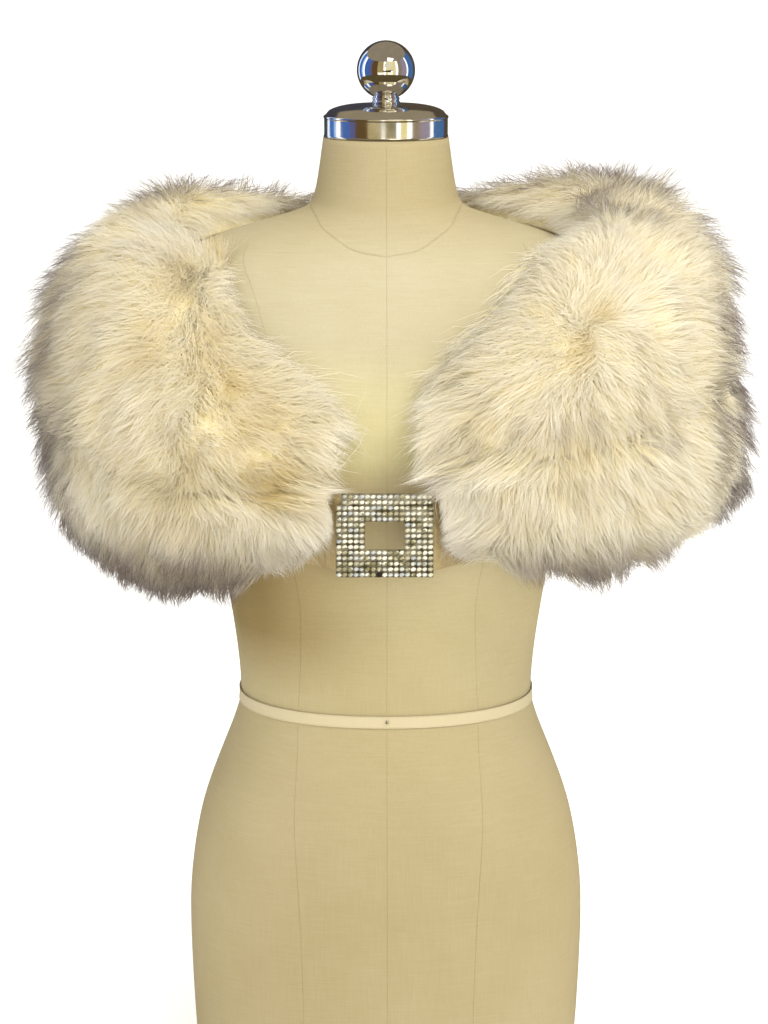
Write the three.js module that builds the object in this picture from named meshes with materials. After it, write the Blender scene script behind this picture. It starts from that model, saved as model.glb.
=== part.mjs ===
// A fur collar wrap closed in front with a square stone-set buckle, worn on a limbless dress form.
// Millimetres, Z up, the front towards -Y, the underside of the base board on Z = 0.
import * as THREE from "three";

// Driving dimensions
const WAIST_HEIGHT = 360;
const BOARD_THICK = 12;
const BOARD_INSET = 4;
const NECK_TOP = 464.9;
const SEAM_GAP = 0.3;
const TAPE_WIDE = 10;
const TAPE_THICK = 1;
const CAP_RADIUS = 50.5;
const CAP_BAND = 17.1;
const CAP_DOME = 9.6;
const STEM_RADIUS = 11.5;
const BALL_RADIUS = 23.5;
const BALL_CENTRE = 518.4;
const HIDE_THICK = 2;
const NECK_LIFT = 4;
const PILE_LIFT = 2.5;
const FRONT_END_AZIMUTH = 23;
const BACK_SEAM_HALF = 0.16;
const STONE_PITCH = 4.45;
const BUCKLE_COLUMNS = 17;
const BUCKLE_ROWS = 15;
const WINDOW_COLUMNS = 7;
const WINDOW_ROWS = 5;
const NOTCH_ROWS = 2;
const BUCKLE_CENTRE_X = -1;
const BUCKLE_CENTRE_Z = 169;
const BUCKLE_BACK = 147;
const BUCKLE_THICK = 3.2;
const TAB_HEIGHT = 58;
const TAB_THICK = 1.6;
const TAB_START = 16.5;
const TAB_END = 64;
const TAB_BENDS = 16;
const FORM_SIDES = 48;
const BUST_RISE = 24;
const BUST_AZIMUTH = 38;
const BUST_LEVEL = 172;
const END_FADE_AZIMUTH = 52;

const COLOURS = {
  fur: 0xefe3c8,
  satin: 0xeee4cd,
  buckle: 0xc9c6bd,
  linen: 0xd9cba0,
  board: 0xb7a884,
  tape: 0xe4dcc2,
  cap: 0xb8b2a4,
  chrome: 0xd8d8d8,
};

// A table with named columns, read by a key that runs down its first column
function makeTable(columns, rows) {
  const keys = rows.map((row) => row[0]);
  const read = {};
  columns.slice(1).forEach((name, at) => {
    read[name] = (key) => smoothValue(keys, rows.map((row) => row[at + 1]), key);
  });
  return read;
}

// Monotone cubic value between the rows of a table
function smoothValue(keys, values, key) {
  const last = keys.length - 1;
  if (key <= keys[0]) return values[0];
  if (key >= keys[last]) return values[last];
  const slopeOf = (i) => (values[i + 1] - values[i]) / (keys[i + 1] - keys[i]);
  const tangentOf = (i) => {
    if (i === 0) return slopeOf(0);
    if (i === last) return slopeOf(last - 1);
    const before = slopeOf(i - 1);
    const after = slopeOf(i);
    return before * after <= 0 ? 0 : (2 * before * after) / (before + after);
  };
  const i = keys.findIndex((value, at) => at < last && key <= keys[at + 1]);
  const span = keys[i + 1] - keys[i];
  const u = (key - keys[i]) / span;
  const rise = u * u * (3 - 2 * u);
  const startBend = u * (1 - u) * (1 - u) * span * tangentOf(i);
  const endBend = u * u * (u - 1) * span * tangentOf(i + 1);
  return values[i] + (values[i + 1] - values[i]) * rise + startBend + endBend;
}

// The dress form by level above the waist: half width, depth to front and back, squareness
const FORM = makeTable(["level", "half", "front", "back", "square"], [
  [-348, 162, 104, 122, 2.3],
  [-308, 166, 106, 126, 2.3],
  [-184, 170, 108, 128, 2.25],
  [-151, 167, 109, 125, 2.2],
  [-97, 157, 109, 112, 2.2],
  [-43, 137, 101, 92, 2.2],
  [0, 123, 94, 82, 2.2],
  [35, 125, 95, 84, 2.2],
  [86, 132, 100, 90, 2.25],
  [130, 139, 108, 95, 2.3],
  [170, 146, 112, 98, 2.3],
  [230, 150, 110, 100, 2.4],
  [300, 165, 100, 102, 2.4],
  [345, 180, 82, 96, 2.3],
  [365, 183, 72, 88, 2.1],
  [375, 165, 67, 82, 2.05],
  [387, 136, 62, 75, 2],
  [398, 100, 60, 69, 2],
  [409, 64, 58, 63, 2],
  [416, 59, 57, 60, 2],
  [430, 56, 55, 56, 2],
  [NECK_TOP, 51, 51, 51, 2],
]);

const FORM_LEVELS = [
  -WAIST_HEIGHT + BOARD_THICK + SEAM_GAP, -308, -270, -230, -184, -151, -124, -97, -70, -43, -24,
  -TAPE_WIDE / 2, TAPE_WIDE / 2, 20, 35, 60, 86, 108, 130, 150, 170, 190, 210, 230, 265, 300, 325,
  345, 357, 365, 370, 375, 381, 387, 392, 398, 403, 409, 416, 430, 445, NECK_TOP,
];

// The wrap's hide by azimuth from the front centre: five points of the section from neckline to hem.
// "Out" is a radius, "Up" a share of the way from the hem's level to the neckline's.
const WRAP = makeTable([
  "azimuth", "neckHigh", "crestOut", "crestUp", "bendOut", "bendUp", "wideOut", "wideUp",
  "hemOut", "hemHigh", "seamAt", "pile",
], [
  [23, 256, 136, 0.86, 142, 0.64, 144, 0.36, 142, 176, 0.50, 0.72],
  [30, 278, 142, 0.90, 152, 0.70, 156, 0.38, 152, 167, 0.54, 0.82],
  [38, 300, 150, 0.93, 166, 0.74, 172, 0.42, 168, 158, 0.58, 0.92],
  [52, 333, 164, 0.97, 190, 0.80, 198, 0.46, 198, 152, 0.62, 1.0],
  [70, 367, 181, 1.01, 214, 0.87, 228, 0.54, 240, 174, 0.67, 1.0],
  [90, 384, 192, 1.03, 226, 0.93, 245, 0.60, 264, 189, 0.71, 1.0],
  [110, 393, 178, 1.01, 212, 0.90, 231, 0.58, 244, 179, 0.71, 1.0],
  [130, 395, 148, 0.97, 181, 0.84, 195, 0.56, 196, 162, 0.70, 0.96],
  [155, 393, 111, 0.93, 134, 0.80, 145, 0.54, 141, 150, 0.68, 0.88],
  [180, 392, 98, 0.92, 117, 0.78, 128, 0.52, 124, 147, 0.68, 0.86],
]);

// What the left side has less of than the right
const LEFT = makeTable(["azimuth", "neckDrop", "wideIn", "hemIn", "hemDrop", "bendThin"], [
  [23, 22, 0, 0, 0, 0],
  [30, 36, 0, 0, 2, 0],
  [38, 50, 0, 2, 6, 0],
  [52, 56, -2, 8, 12, 1],
  [70, 26, -4, 20, 22, 5],
  [90, 9, -6, 28, 21, 8],
  [110, 5, -4, 17, 14, 7],
  [130, 5, -1, 5, 6, 5],
  [155, 0, 0, 0, 0, 0],
  [180, 0, 0, 0, 0, 0],
]);

// The pile from neckline to hem: how far it stands out of the hide and leans along it
const PILE = makeTable(["along", "out", "lean"], [
  [0, 15, -15],
  [0.08, 26, -13],
  [0.2, 34, -8],
  [0.34, 45, -2],
  [0.6, 43, 6],
  [0.8, 41, 12],
  [0.93, 33, 19],
  [1, 17, 25],
]);

// How far the pile of a front end leans over the centre, from neckline to hem
const END_LEAN = makeTable(["along", "right", "left"], [
  [0, 14, 20],
  [0.3, 44, 28],
  [0.5, 46, 32],
  [0.62, 27, 22],
  [0.85, 17, 17],
  [1, 4, 4],
]);

// The satin end tab in plan, from behind the buckle to under the pelt
const TAB = makeTable(["across", "depth", "share"], [
  [TAB_START, 145.1, 0.96],
  [30, 145.1, 1],
  [37, 143.4, 1],
  [43, 137.2, 1],
  [49, 130.7, 1],
  [55, 127.5, 0.98],
  [TAB_END, 127.4, 0.94],
]);

const toRadians = THREE.MathUtils.degToRad;

// A point from azimuth (0 = front, + = viewer's right), radius and level above the waist
function place(azimuth, radius, level) {
  const angle = toRadians(azimuth);
  return new THREE.Vector3(radius * Math.sin(angle), -radius * Math.cos(angle), WAIST_HEIGHT + level);
}

// Radius of the form's skin
function formRadius(azimuth, level) {
  const angle = toRadians(azimuth);
  const turn = Math.abs(((azimuth % 360) + 540) % 360 - 180);
  const depth = turn < 90 ? FORM.front(level) : FORM.back(level);
  const power = FORM.square(level);
  const across = Math.pow(Math.abs(Math.sin(angle)) / FORM.half(level), power);
  const along = Math.pow(Math.abs(Math.cos(angle)) / depth, power);
  const bustAcross = Math.exp(-(((turn - BUST_AZIMUTH) / 19) ** 2));
  const bustUp = Math.exp(-(((level - BUST_LEVEL) / 58) ** 2));
  return Math.pow(across + along, -1 / power) + BUST_RISE * bustAcross * bustUp;
}

// A closed body from triangles, turned so that its faces look outwards
function closedBody(points, faces) {
  const signedVolume = faces.reduce((sum, [a, b, c]) => {
    return sum + points[a].dot(new THREE.Vector3().crossVectors(points[b], points[c]));
  }, 0);
  const turned = signedVolume < 0 ? faces.map(([a, b, c]) => [a, c, b]) : faces;
  const geometry = new THREE.BufferGeometry();
  const flat = points.flatMap((point) => [point.x, point.y, point.z]);
  geometry.setAttribute("position", new THREE.Float32BufferAttribute(flat, 3));
  geometry.setIndex(turned.flat());
  geometry.computeVertexNormals();
  return geometry;
}

// A stack of closed loops, shut at both ends by a fan to the middle
function stackBody(loops) {
  const count = loops[0].length;
  const points = loops.flat();
  const faces = [];
  for (let ring = 0; ring < loops.length - 1; ring += 1) {
    for (let i = 0; i < count; i += 1) {
      const next = (i + 1) % count;
      const low = ring * count;
      const high = low + count;
      faces.push([low + i, low + next, high + next], [low + i, high + next, high + i]);
    }
  }
  [0, loops.length - 1].forEach((ring) => {
    const middle = points.length;
    const sum = new THREE.Vector3();
    loops[ring].forEach((point) => sum.add(point));
    points.push(sum.divideScalar(count));
    for (let i = 0; i < count; i += 1) {
      const first = ring * count + i;
      const second = ring * count + ((i + 1) % count);
      faces.push(ring === 0 ? [second, first, middle] : [first, second, middle]);
    }
  });
  return closedBody(points, faces);
}

// A loop of four-cornered sections joined end to end, such as a tape round a waist
function hoopBody(sections) {
  const corners = sections[0].length;
  const points = sections.flat();
  const faces = [];
  sections.forEach((section, at) => {
    const here = at * corners;
    const there = ((at + 1) % sections.length) * corners;
    for (let i = 0; i < corners; i += 1) {
      const next = (i + 1) % corners;
      faces.push([here + i, there + i, there + next], [here + i, there + next, here + next]);
    }
  });
  return closedBody(points, faces);
}

// A sheet with two faces and four edge walls; both grids have the same rows and columns
function sheetBody(innerGrid, outerGrid) {
  const rows = innerGrid.length;
  const columns = innerGrid[0].length;
  const points = [...innerGrid.flat(), ...outerGrid.flat()];
  const inner = (row, column) => row * columns + column;
  const outer = (row, column) => rows * columns + inner(row, column);
  const faces = [];
  for (let row = 0; row < rows - 1; row += 1) {
    for (let column = 0; column < columns - 1; column += 1) {
      const [a, b] = [inner(row, column), inner(row, column + 1)];
      const [c, d] = [inner(row + 1, column + 1), inner(row + 1, column)];
      faces.push([a, b, c], [a, c, d]);
      const [e, f] = [outer(row, column), outer(row, column + 1)];
      const [g, h] = [outer(row + 1, column + 1), outer(row + 1, column)];
      faces.push([e, g, f], [e, h, g]);
    }
  }
  const rim = [];
  for (let column = 0; column < columns - 1; column += 1) rim.push([0, column]);
  for (let row = 0; row < rows - 1; row += 1) rim.push([row, columns - 1]);
  for (let column = columns - 1; column > 0; column -= 1) rim.push([rows - 1, column]);
  for (let row = rows - 1; row > 0; row -= 1) rim.push([row, 0]);
  // Both edges that meet at a seam are split along the same diagonal, so the gap stays even
  rim.forEach(([row, column], at) => {
    const [nextRow, nextColumn] = rim[(at + 1) % rim.length];
    const [a, b] = [inner(row, column), inner(nextRow, nextColumn)];
    const [c, d] = [outer(nextRow, nextColumn), outer(row, column)];
    if (nextRow + nextColumn > row + column) faces.push([a, c, b], [a, d, c]);
    else faces.push([a, d, b], [b, d, c]);
  });
  return closedBody(points, faces);
}

// A loop round the form at one level, lifted off its skin
function formLoop(level, lift) {
  return Array.from({ length: FORM_SIDES }, (_, at) => {
    const azimuth = (360 * at) / FORM_SIDES;
    return place(azimuth, formRadius(azimuth, level) + lift, level);
  });
}

function formBody() {
  return stackBody(FORM_LEVELS.map((level) => formLoop(level, 0)));
}

function baseBoard() {
  const rims = [
    { level: -WAIST_HEIGHT, inset: BOARD_INSET + 1.5 },
    { level: -WAIST_HEIGHT + 1.5, inset: BOARD_INSET },
    { level: -WAIST_HEIGHT + BOARD_THICK, inset: BOARD_INSET },
  ];
  return stackBody(rims.map(({ level, inset }) => {
    return formLoop(FORM_LEVELS[0], -inset).map((point) => point.setZ(WAIST_HEIGHT + level));
  }));
}

function waistTape() {
  const half = TAPE_WIDE / 2;
  const sections = Array.from({ length: FORM_SIDES }, (_, at) => {
    const azimuth = (360 * at) / FORM_SIDES;
    const inside = SEAM_GAP;
    const outside = SEAM_GAP + TAPE_THICK;
    return [
      place(azimuth, formRadius(azimuth, -half) + inside, -half),
      place(azimuth, formRadius(azimuth, -half) + outside, -half),
      place(azimuth, formRadius(azimuth, half) + outside, half),
      place(azimuth, formRadius(azimuth, half) + inside, half),
    ];
  });
  return hoopBody(sections);
}

// A turned piece from a closed outline of radius and level
function turnedBody(outline, segments) {
  const points = outline.map(([radius, level]) => new THREE.Vector2(radius, level));
  const geometry = new THREE.LatheGeometry(points, segments);
  geometry.rotateX(Math.PI / 2);
  geometry.translate(0, 0, WAIST_HEIGHT);
  return geometry;
}

function neckCap() {
  const foot = NECK_TOP + SEAM_GAP;
  const flat = STEM_RADIUS + 2;
  const outline = [[0, foot], [CAP_RADIUS, foot], [CAP_RADIUS, foot + CAP_BAND]];
  for (let step = 1; step <= 8; step += 1) {
    const share = step / 8;
    const radius = CAP_RADIUS - (CAP_RADIUS - flat) * share;
    outline.push([radius, foot + CAP_BAND + CAP_DOME * Math.sin((Math.PI / 2) * Math.sqrt(share))]);
  }
  outline.push([0, foot + CAP_BAND + CAP_DOME]);
  return turnedBody(outline, FORM_SIDES);
}

function finialStem() {
  const foot = NECK_TOP + CAP_BAND + CAP_DOME + 2 * SEAM_GAP;
  const top = BALL_CENTRE - Math.sqrt(BALL_RADIUS ** 2 - STEM_RADIUS ** 2);
  return turnedBody([[0, foot], [STEM_RADIUS, foot], [STEM_RADIUS, top], [0, top]], 32);
}

function finialBall() {
  const seat = Math.sqrt(BALL_RADIUS ** 2 - STEM_RADIUS ** 2) - SEAM_GAP;
  const start = -Math.asin(seat / BALL_RADIUS);
  const outline = [[0, BALL_CENTRE - seat]];
  for (let step = 0; step <= 14; step += 1) {
    const angle = start + ((Math.PI / 2 - start) * step) / 14;
    const radius = step === 14 ? 0 : BALL_RADIUS * Math.cos(angle);
    outline.push([radius, BALL_CENTRE + BALL_RADIUS * Math.sin(angle)]);
  }
  return turnedBody(outline, 32);
}

// The hide's section at one azimuth of one side, as a curve of radius and level
function hideSection(side, azimuth) {
  const left = side < 0 ? 1 : 0;
  const neckHigh = WRAP.neckHigh(azimuth) - left * LEFT.neckDrop(azimuth);
  const hemHigh = WRAP.hemHigh(azimuth) - left * LEFT.hemDrop(azimuth);
  const hemOut = WRAP.hemOut(azimuth) - left * LEFT.hemIn(azimuth);
  const levelAt = (share) => hemHigh + (neckHigh - hemHigh) * share;
  const stops = [
    [formRadius(azimuth, neckHigh) + NECK_LIFT, neckHigh],
    [WRAP.crestOut(azimuth), levelAt(WRAP.crestUp(azimuth))],
    [WRAP.bendOut(azimuth), levelAt(WRAP.bendUp(azimuth))],
    [WRAP.wideOut(azimuth) - left * LEFT.wideIn(azimuth), levelAt(WRAP.wideUp(azimuth))],
    [hemOut, hemHigh],
  ];
  return new THREE.CatmullRomCurve3(
    stops.map(([radius, level]) => new THREE.Vector3(radius, 0, level)), false, "centripetal");
}

// Locks of the pile: gentle lumps over the whole coat, in millimetres
function lockLump(side, azimuth, along) {
  const turn = toRadians(azimuth * side);
  return 2.2 * Math.sin(33 * turn + 5 * along) + 1.8 * Math.sin(19 * turn - 23 * along + side)
    + 1.4 * Math.sin(47 * turn + 13 * along);
}

// Inner and outer point of the coat at one spot
function coatSpot(side, section, azimuth, along) {
  const left = side < 0 ? 1 : 0;
  const spot = section.getPointAt(along);
  const way = section.getTangentAt(along);
  const seamShare = (along - WRAP.seamAt(azimuth)) / 0.055;
  const dip = 1 - 0.24 * Math.exp(-(seamShare ** 2));
  const thin = left * LEFT.bendThin(azimuth) * Math.exp(-(((along - 0.33) / 0.16) ** 2));
  const pile = WRAP.pile(azimuth);
  const edge = Math.min(1, 4 * along, 4 * (1 - along) + 0.3);
  const out = (PILE.out(along) * dip - thin + edge * lockLump(side, azimuth, along)) * pile;
  const hemLock = 5 * Math.sin(toRadians(azimuth) * 29 + side) * Math.max(0, along - 0.75) * 4;
  const lean = PILE.lean(along) * pile + hemLock;
  const [normalOut, normalUp] = [-way.z, way.x];
  const inner = place(side * azimuth, spot.x - HIDE_THICK / 2 * normalOut,
    spot.z - HIDE_THICK / 2 * normalUp);
  const outer = place(side * azimuth, spot.x + out * normalOut + lean * way.x,
    spot.z + out * normalUp + lean * way.z);
  const endShare = THREE.MathUtils.smoothstep(azimuth, FRONT_END_AZIMUTH, END_FADE_AZIMUTH);
  const over = left ? END_LEAN.left(along) : END_LEAN.right(along);
  outer.x -= side * over * (1 - endShare);
  return { inner, outer: restOnForm(outer, NECK_LIFT + PILE_LIFT) };
}

// Pile that leans over the neckline lies on the form instead of going into it
function restOnForm(point, lift) {
  const level = point.z - WAIST_HEIGHT;
  const azimuth = THREE.MathUtils.radToDeg(Math.atan2(point.x, -point.y));
  const least = formRadius(azimuth, level) + lift;
  if (level > NECK_TOP || Math.hypot(point.x, point.y) >= least) return point;
  return place(azimuth, least, level);
}

// One pelt of one side, either above or below the cross seam
function peltBody(side, isUpper, rowCount, columnCount) {
  const lastAzimuth = 180 - BACK_SEAM_HALF;
  const innerGrid = Array.from({ length: rowCount + 1 }, () => []);
  const outerGrid = Array.from({ length: rowCount + 1 }, () => []);
  for (let column = 0; column <= columnCount; column += 1) {
    const share = column / columnCount;
    const azimuth = FRONT_END_AZIMUTH + (lastAzimuth - FRONT_END_AZIMUTH) * share;
    const section = hideSection(side, azimuth);
    const halfGap = (0.75 * SEAM_GAP) / section.getLength();
    const seam = WRAP.seamAt(azimuth) + (isUpper ? -halfGap : halfGap);
    const [start, end] = isUpper ? [0, seam] : [seam, 1];
    for (let row = 0; row <= rowCount; row += 1) {
      const along = start + ((end - start) * row) / rowCount;
      const { inner, outer } = coatSpot(side, section, azimuth, along);
      innerGrid[row].push(inner);
      outerGrid[row].push(outer);
    }
  }
  return sheetBody(innerGrid, outerGrid);
}

// One satin end tab, gathered a little where it goes behind the buckle
function endTab(side) {
  const rows = 4;
  const innerGrid = [];
  const outerGrid = [];
  for (let row = 0; row <= rows; row += 1) {
    const innerRow = [];
    const outerRow = [];
    for (let column = 0; column <= TAB_BENDS; column += 1) {
      const across = TAB_START + ((TAB_END - TAB_START) * column) / TAB_BENDS;
      const slope = TAB.depth(across + 0.5) - TAB.depth(across - 0.5);
      const length = Math.hypot(1, slope);
      const level = BUCKLE_CENTRE_Z + TAB_HEIGHT * TAB.share(across) * (row / rows - 0.5);
      const depth = TAB.depth(across);
      const x = side * across + BUCKLE_CENTRE_X * Math.max(0, 1 - (across - TAB_START) / 30);
      innerRow.push(new THREE.Vector3(x, -depth, WAIST_HEIGHT + level));
      outerRow.push(new THREE.Vector3(
        x + (side * TAB_THICK * -slope) / length, -depth - TAB_THICK / length, WAIST_HEIGHT + level));
    }
    innerGrid.push(innerRow);
    outerGrid.push(outerRow);
  }
  return sheetBody(innerGrid, outerGrid);
}

// The buckle frame: a square plate with a window and a stone's step at one upper corner
function buckleFrame() {
  const wide = (BUCKLE_COLUMNS * STONE_PITCH) / 2;
  const high = (BUCKLE_ROWS * STONE_PITCH) / 2;
  const outline = new THREE.Shape();
  outline.moveTo(-wide, -high);
  outline.lineTo(wide, -high);
  outline.lineTo(wide, high);
  outline.lineTo(-wide + STONE_PITCH, high);
  outline.lineTo(-wide + STONE_PITCH, high - NOTCH_ROWS * STONE_PITCH);
  outline.lineTo(-wide, high - NOTCH_ROWS * STONE_PITCH);
  outline.closePath();
  const halfOpen = (WINDOW_COLUMNS * STONE_PITCH) / 2;
  const halfTall = (WINDOW_ROWS * STONE_PITCH) / 2;
  const opening = new THREE.Path();
  opening.moveTo(-halfOpen, -halfTall);
  opening.lineTo(-halfOpen, halfTall);
  opening.lineTo(halfOpen, halfTall);
  opening.lineTo(halfOpen, -halfTall);
  opening.closePath();
  outline.holes.push(opening);
  const geometry = new THREE.ExtrudeGeometry(outline, { depth: BUCKLE_THICK, bevelEnabled: false });
  geometry.rotateX(Math.PI / 2);
  geometry.translate(BUCKLE_CENTRE_X, -BUCKLE_BACK, WAIST_HEIGHT + BUCKLE_CENTRE_Z);
  return geometry;
}

function addPiece(parent, name, geometry, look) {
  const material = new THREE.MeshStandardMaterial(look);
  const mesh = new THREE.Mesh(geometry, material);
  mesh.name = name;
  parent.add(mesh);
}

const group = new THREE.Group();
group.name = "fur_collar_wrap";

const furLook = { color: COLOURS.fur, roughness: 0.85, metalness: 0 };
const satinLook = { color: COLOURS.satin, roughness: 0.4, metalness: 0 };
addPiece(group, "form_body", formBody(), { color: COLOURS.linen, roughness: 0.9, metalness: 0 });
addPiece(group, "base_board", baseBoard(), { color: COLOURS.board, roughness: 0.7, metalness: 0 });
addPiece(group, "waist_tape", waistTape(), { color: COLOURS.tape, roughness: 0.8, metalness: 0 });
addPiece(group, "neck_cap", neckCap(), { color: COLOURS.cap, roughness: 0.35, metalness: 1 });
addPiece(group, "finial_stem", finialStem(), { color: COLOURS.chrome, roughness: 0.2, metalness: 1 });
addPiece(group, "finial_ball", finialBall(), { color: COLOURS.chrome, roughness: 0.08, metalness: 1 });
addPiece(group, "pelt_upper_right", peltBody(1, true, 10, 38), furLook);
addPiece(group, "pelt_upper_left", peltBody(-1, true, 10, 38), furLook);
addPiece(group, "pelt_lower_right", peltBody(1, false, 6, 38), furLook);
addPiece(group, "pelt_lower_left", peltBody(-1, false, 6, 38), furLook);
addPiece(group, "end_tab_right", endTab(1), satinLook);
addPiece(group, "end_tab_left", endTab(-1), satinLook);
addPiece(group, "buckle_frame", buckleFrame(), { color: COLOURS.buckle, roughness: 0.25, metalness: 1 });

export default group;
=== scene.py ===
import math
from functools import partial

import bmesh
import bpy
import numpy as np
from mathutils import Matrix, Vector
from mathutils.bvhtree import BVHTree
from mathutils.kdtree import KDTree


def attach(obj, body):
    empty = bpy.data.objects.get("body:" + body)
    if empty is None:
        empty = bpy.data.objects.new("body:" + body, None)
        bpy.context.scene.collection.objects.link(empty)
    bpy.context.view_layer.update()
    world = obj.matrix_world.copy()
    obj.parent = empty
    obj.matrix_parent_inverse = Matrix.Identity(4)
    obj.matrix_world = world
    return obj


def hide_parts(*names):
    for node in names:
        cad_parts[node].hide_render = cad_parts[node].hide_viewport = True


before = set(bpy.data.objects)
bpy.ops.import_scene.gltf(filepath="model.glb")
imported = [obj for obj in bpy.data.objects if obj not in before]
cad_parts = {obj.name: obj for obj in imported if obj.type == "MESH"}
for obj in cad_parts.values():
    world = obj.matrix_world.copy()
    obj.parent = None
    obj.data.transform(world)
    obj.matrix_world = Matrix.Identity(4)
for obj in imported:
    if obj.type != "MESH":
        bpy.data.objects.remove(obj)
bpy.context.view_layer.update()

WAIST_HEIGHT = 360.0
FRONT_AZIMUTH = 23.0
BACK_AZIMUTH = 180.0
BUST_RISE = 24.0
BUST_AZIMUTH = 38.0
BUST_LEVEL = 172.0
NECK_TOP = 464.9
HIDE_THICK = 2.0
NECK_LIFT = 4.0
PILE_LIFT = 2.5
STONE_PITCH = 4.45
STONE_COLUMNS = 17
STONE_ROWS = 15
WINDOW_COLUMNS = range(5, 12)
WINDOW_ROWS = range(5, 10)
BUCKLE_X = -1.0
BUCKLE_Z = 529.0
CAP_FOOT = 825.2
CAP_RADIUS = 50.5
STEM_RADIUS = 11.5
BALL_Z = 878.4
BALL_RADIUS = 23.5

# Dress form by level above the waist: half width, depth to front and to back, squareness
FORM = [
    (-348, 162, 104, 122, 2.3), (-308, 166, 106, 126, 2.3), (-184, 170, 108, 128, 2.25),
    (-151, 167, 109, 125, 2.2), (-97, 157, 109, 112, 2.2), (-43, 137, 101, 92, 2.2),
    (0, 123, 94, 82, 2.2), (35, 125, 95, 84, 2.2), (86, 132, 100, 90, 2.25),
    (130, 139, 108, 95, 2.3), (170, 146, 112, 98, 2.3), (230, 150, 110, 100, 2.4),
    (300, 165, 100, 102, 2.4), (345, 180, 82, 96, 2.3), (365, 183, 72, 88, 2.1),
    (375, 165, 67, 82, 2.05), (387, 136, 62, 75, 2), (398, 100, 60, 69, 2),
    (409, 64, 58, 63, 2), (416, 59, 57, 60, 2), (430, 56, 55, 56, 2), (464.9, 51, 51, 51, 2),
]

# Hide by azimuth from the front centre: neckHigh, crestOut, crestUp, bendOut, bendUp, wideOut,
# wideUp, hemOut, hemHigh, seamAt, pile
WRAP = [
    (23, 256, 136, 0.86, 142, 0.64, 144, 0.36, 142, 176, 0.50, 0.72),
    (30, 278, 142, 0.90, 152, 0.70, 156, 0.38, 152, 167, 0.54, 0.82),
    (38, 300, 150, 0.93, 166, 0.74, 172, 0.42, 168, 158, 0.58, 0.92),
    (52, 333, 164, 0.97, 190, 0.80, 198, 0.46, 198, 152, 0.62, 1.0),
    (70, 367, 181, 1.01, 214, 0.87, 228, 0.54, 240, 174, 0.67, 1.0),
    (90, 384, 192, 1.03, 226, 0.93, 245, 0.60, 264, 189, 0.71, 1.0),
    (110, 393, 178, 1.01, 212, 0.90, 231, 0.58, 244, 179, 0.71, 1.0),
    (130, 395, 148, 0.97, 181, 0.84, 195, 0.56, 196, 162, 0.70, 0.96),
    (155, 393, 111, 0.93, 134, 0.80, 145, 0.54, 141, 150, 0.68, 0.88),
    (180, 392, 98, 0.92, 117, 0.78, 128, 0.52, 124, 147, 0.68, 0.86),
]

# What the left side has less of: neckDrop, wideIn, hemIn, hemDrop, bendThin
LEFT = [
    (23, 22, 0, 0, 0, 0), (30, 36, 0, 0, 2, 0), (38, 50, 0, 2, 6, 0), (52, 56, -2, 8, 12, 1),
    (70, 26, -4, 20, 22, 5), (90, 9, -6, 28, 21, 8), (110, 5, -4, 17, 14, 7),
    (130, 5, -1, 5, 6, 5), (155, 0, 0, 0, 0, 0), (180, 0, 0, 0, 0, 0),
]

# Pile from neckline to hem: how far it stands out of the hide and leans along it
PILE = [
    (0, 15, -15), (0.08, 26, -13), (0.2, 34, -8), (0.34, 45, -2),
    (0.6, 43, 6), (0.8, 41, 12), (0.93, 33, 19), (1, 17, 25),
]

# How far the pile of a front end leans over the centre: right, left
END_LEAN = [(0, 14, 20), (0.3, 44, 28), (0.5, 46, 32), (0.62, 27, 22), (0.85, 17, 17), (1, 4, 4)]

# Satin end tab in plan: distance from the centre, depth, share of its height
TAB = [
    (16.5, 145.1, 0.96), (30, 145.1, 1), (37, 143.4, 1), (43, 137.2, 1),
    (49, 130.7, 1), (55, 127.5, 0.98), (64, 127.4, 0.94),
]

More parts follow.
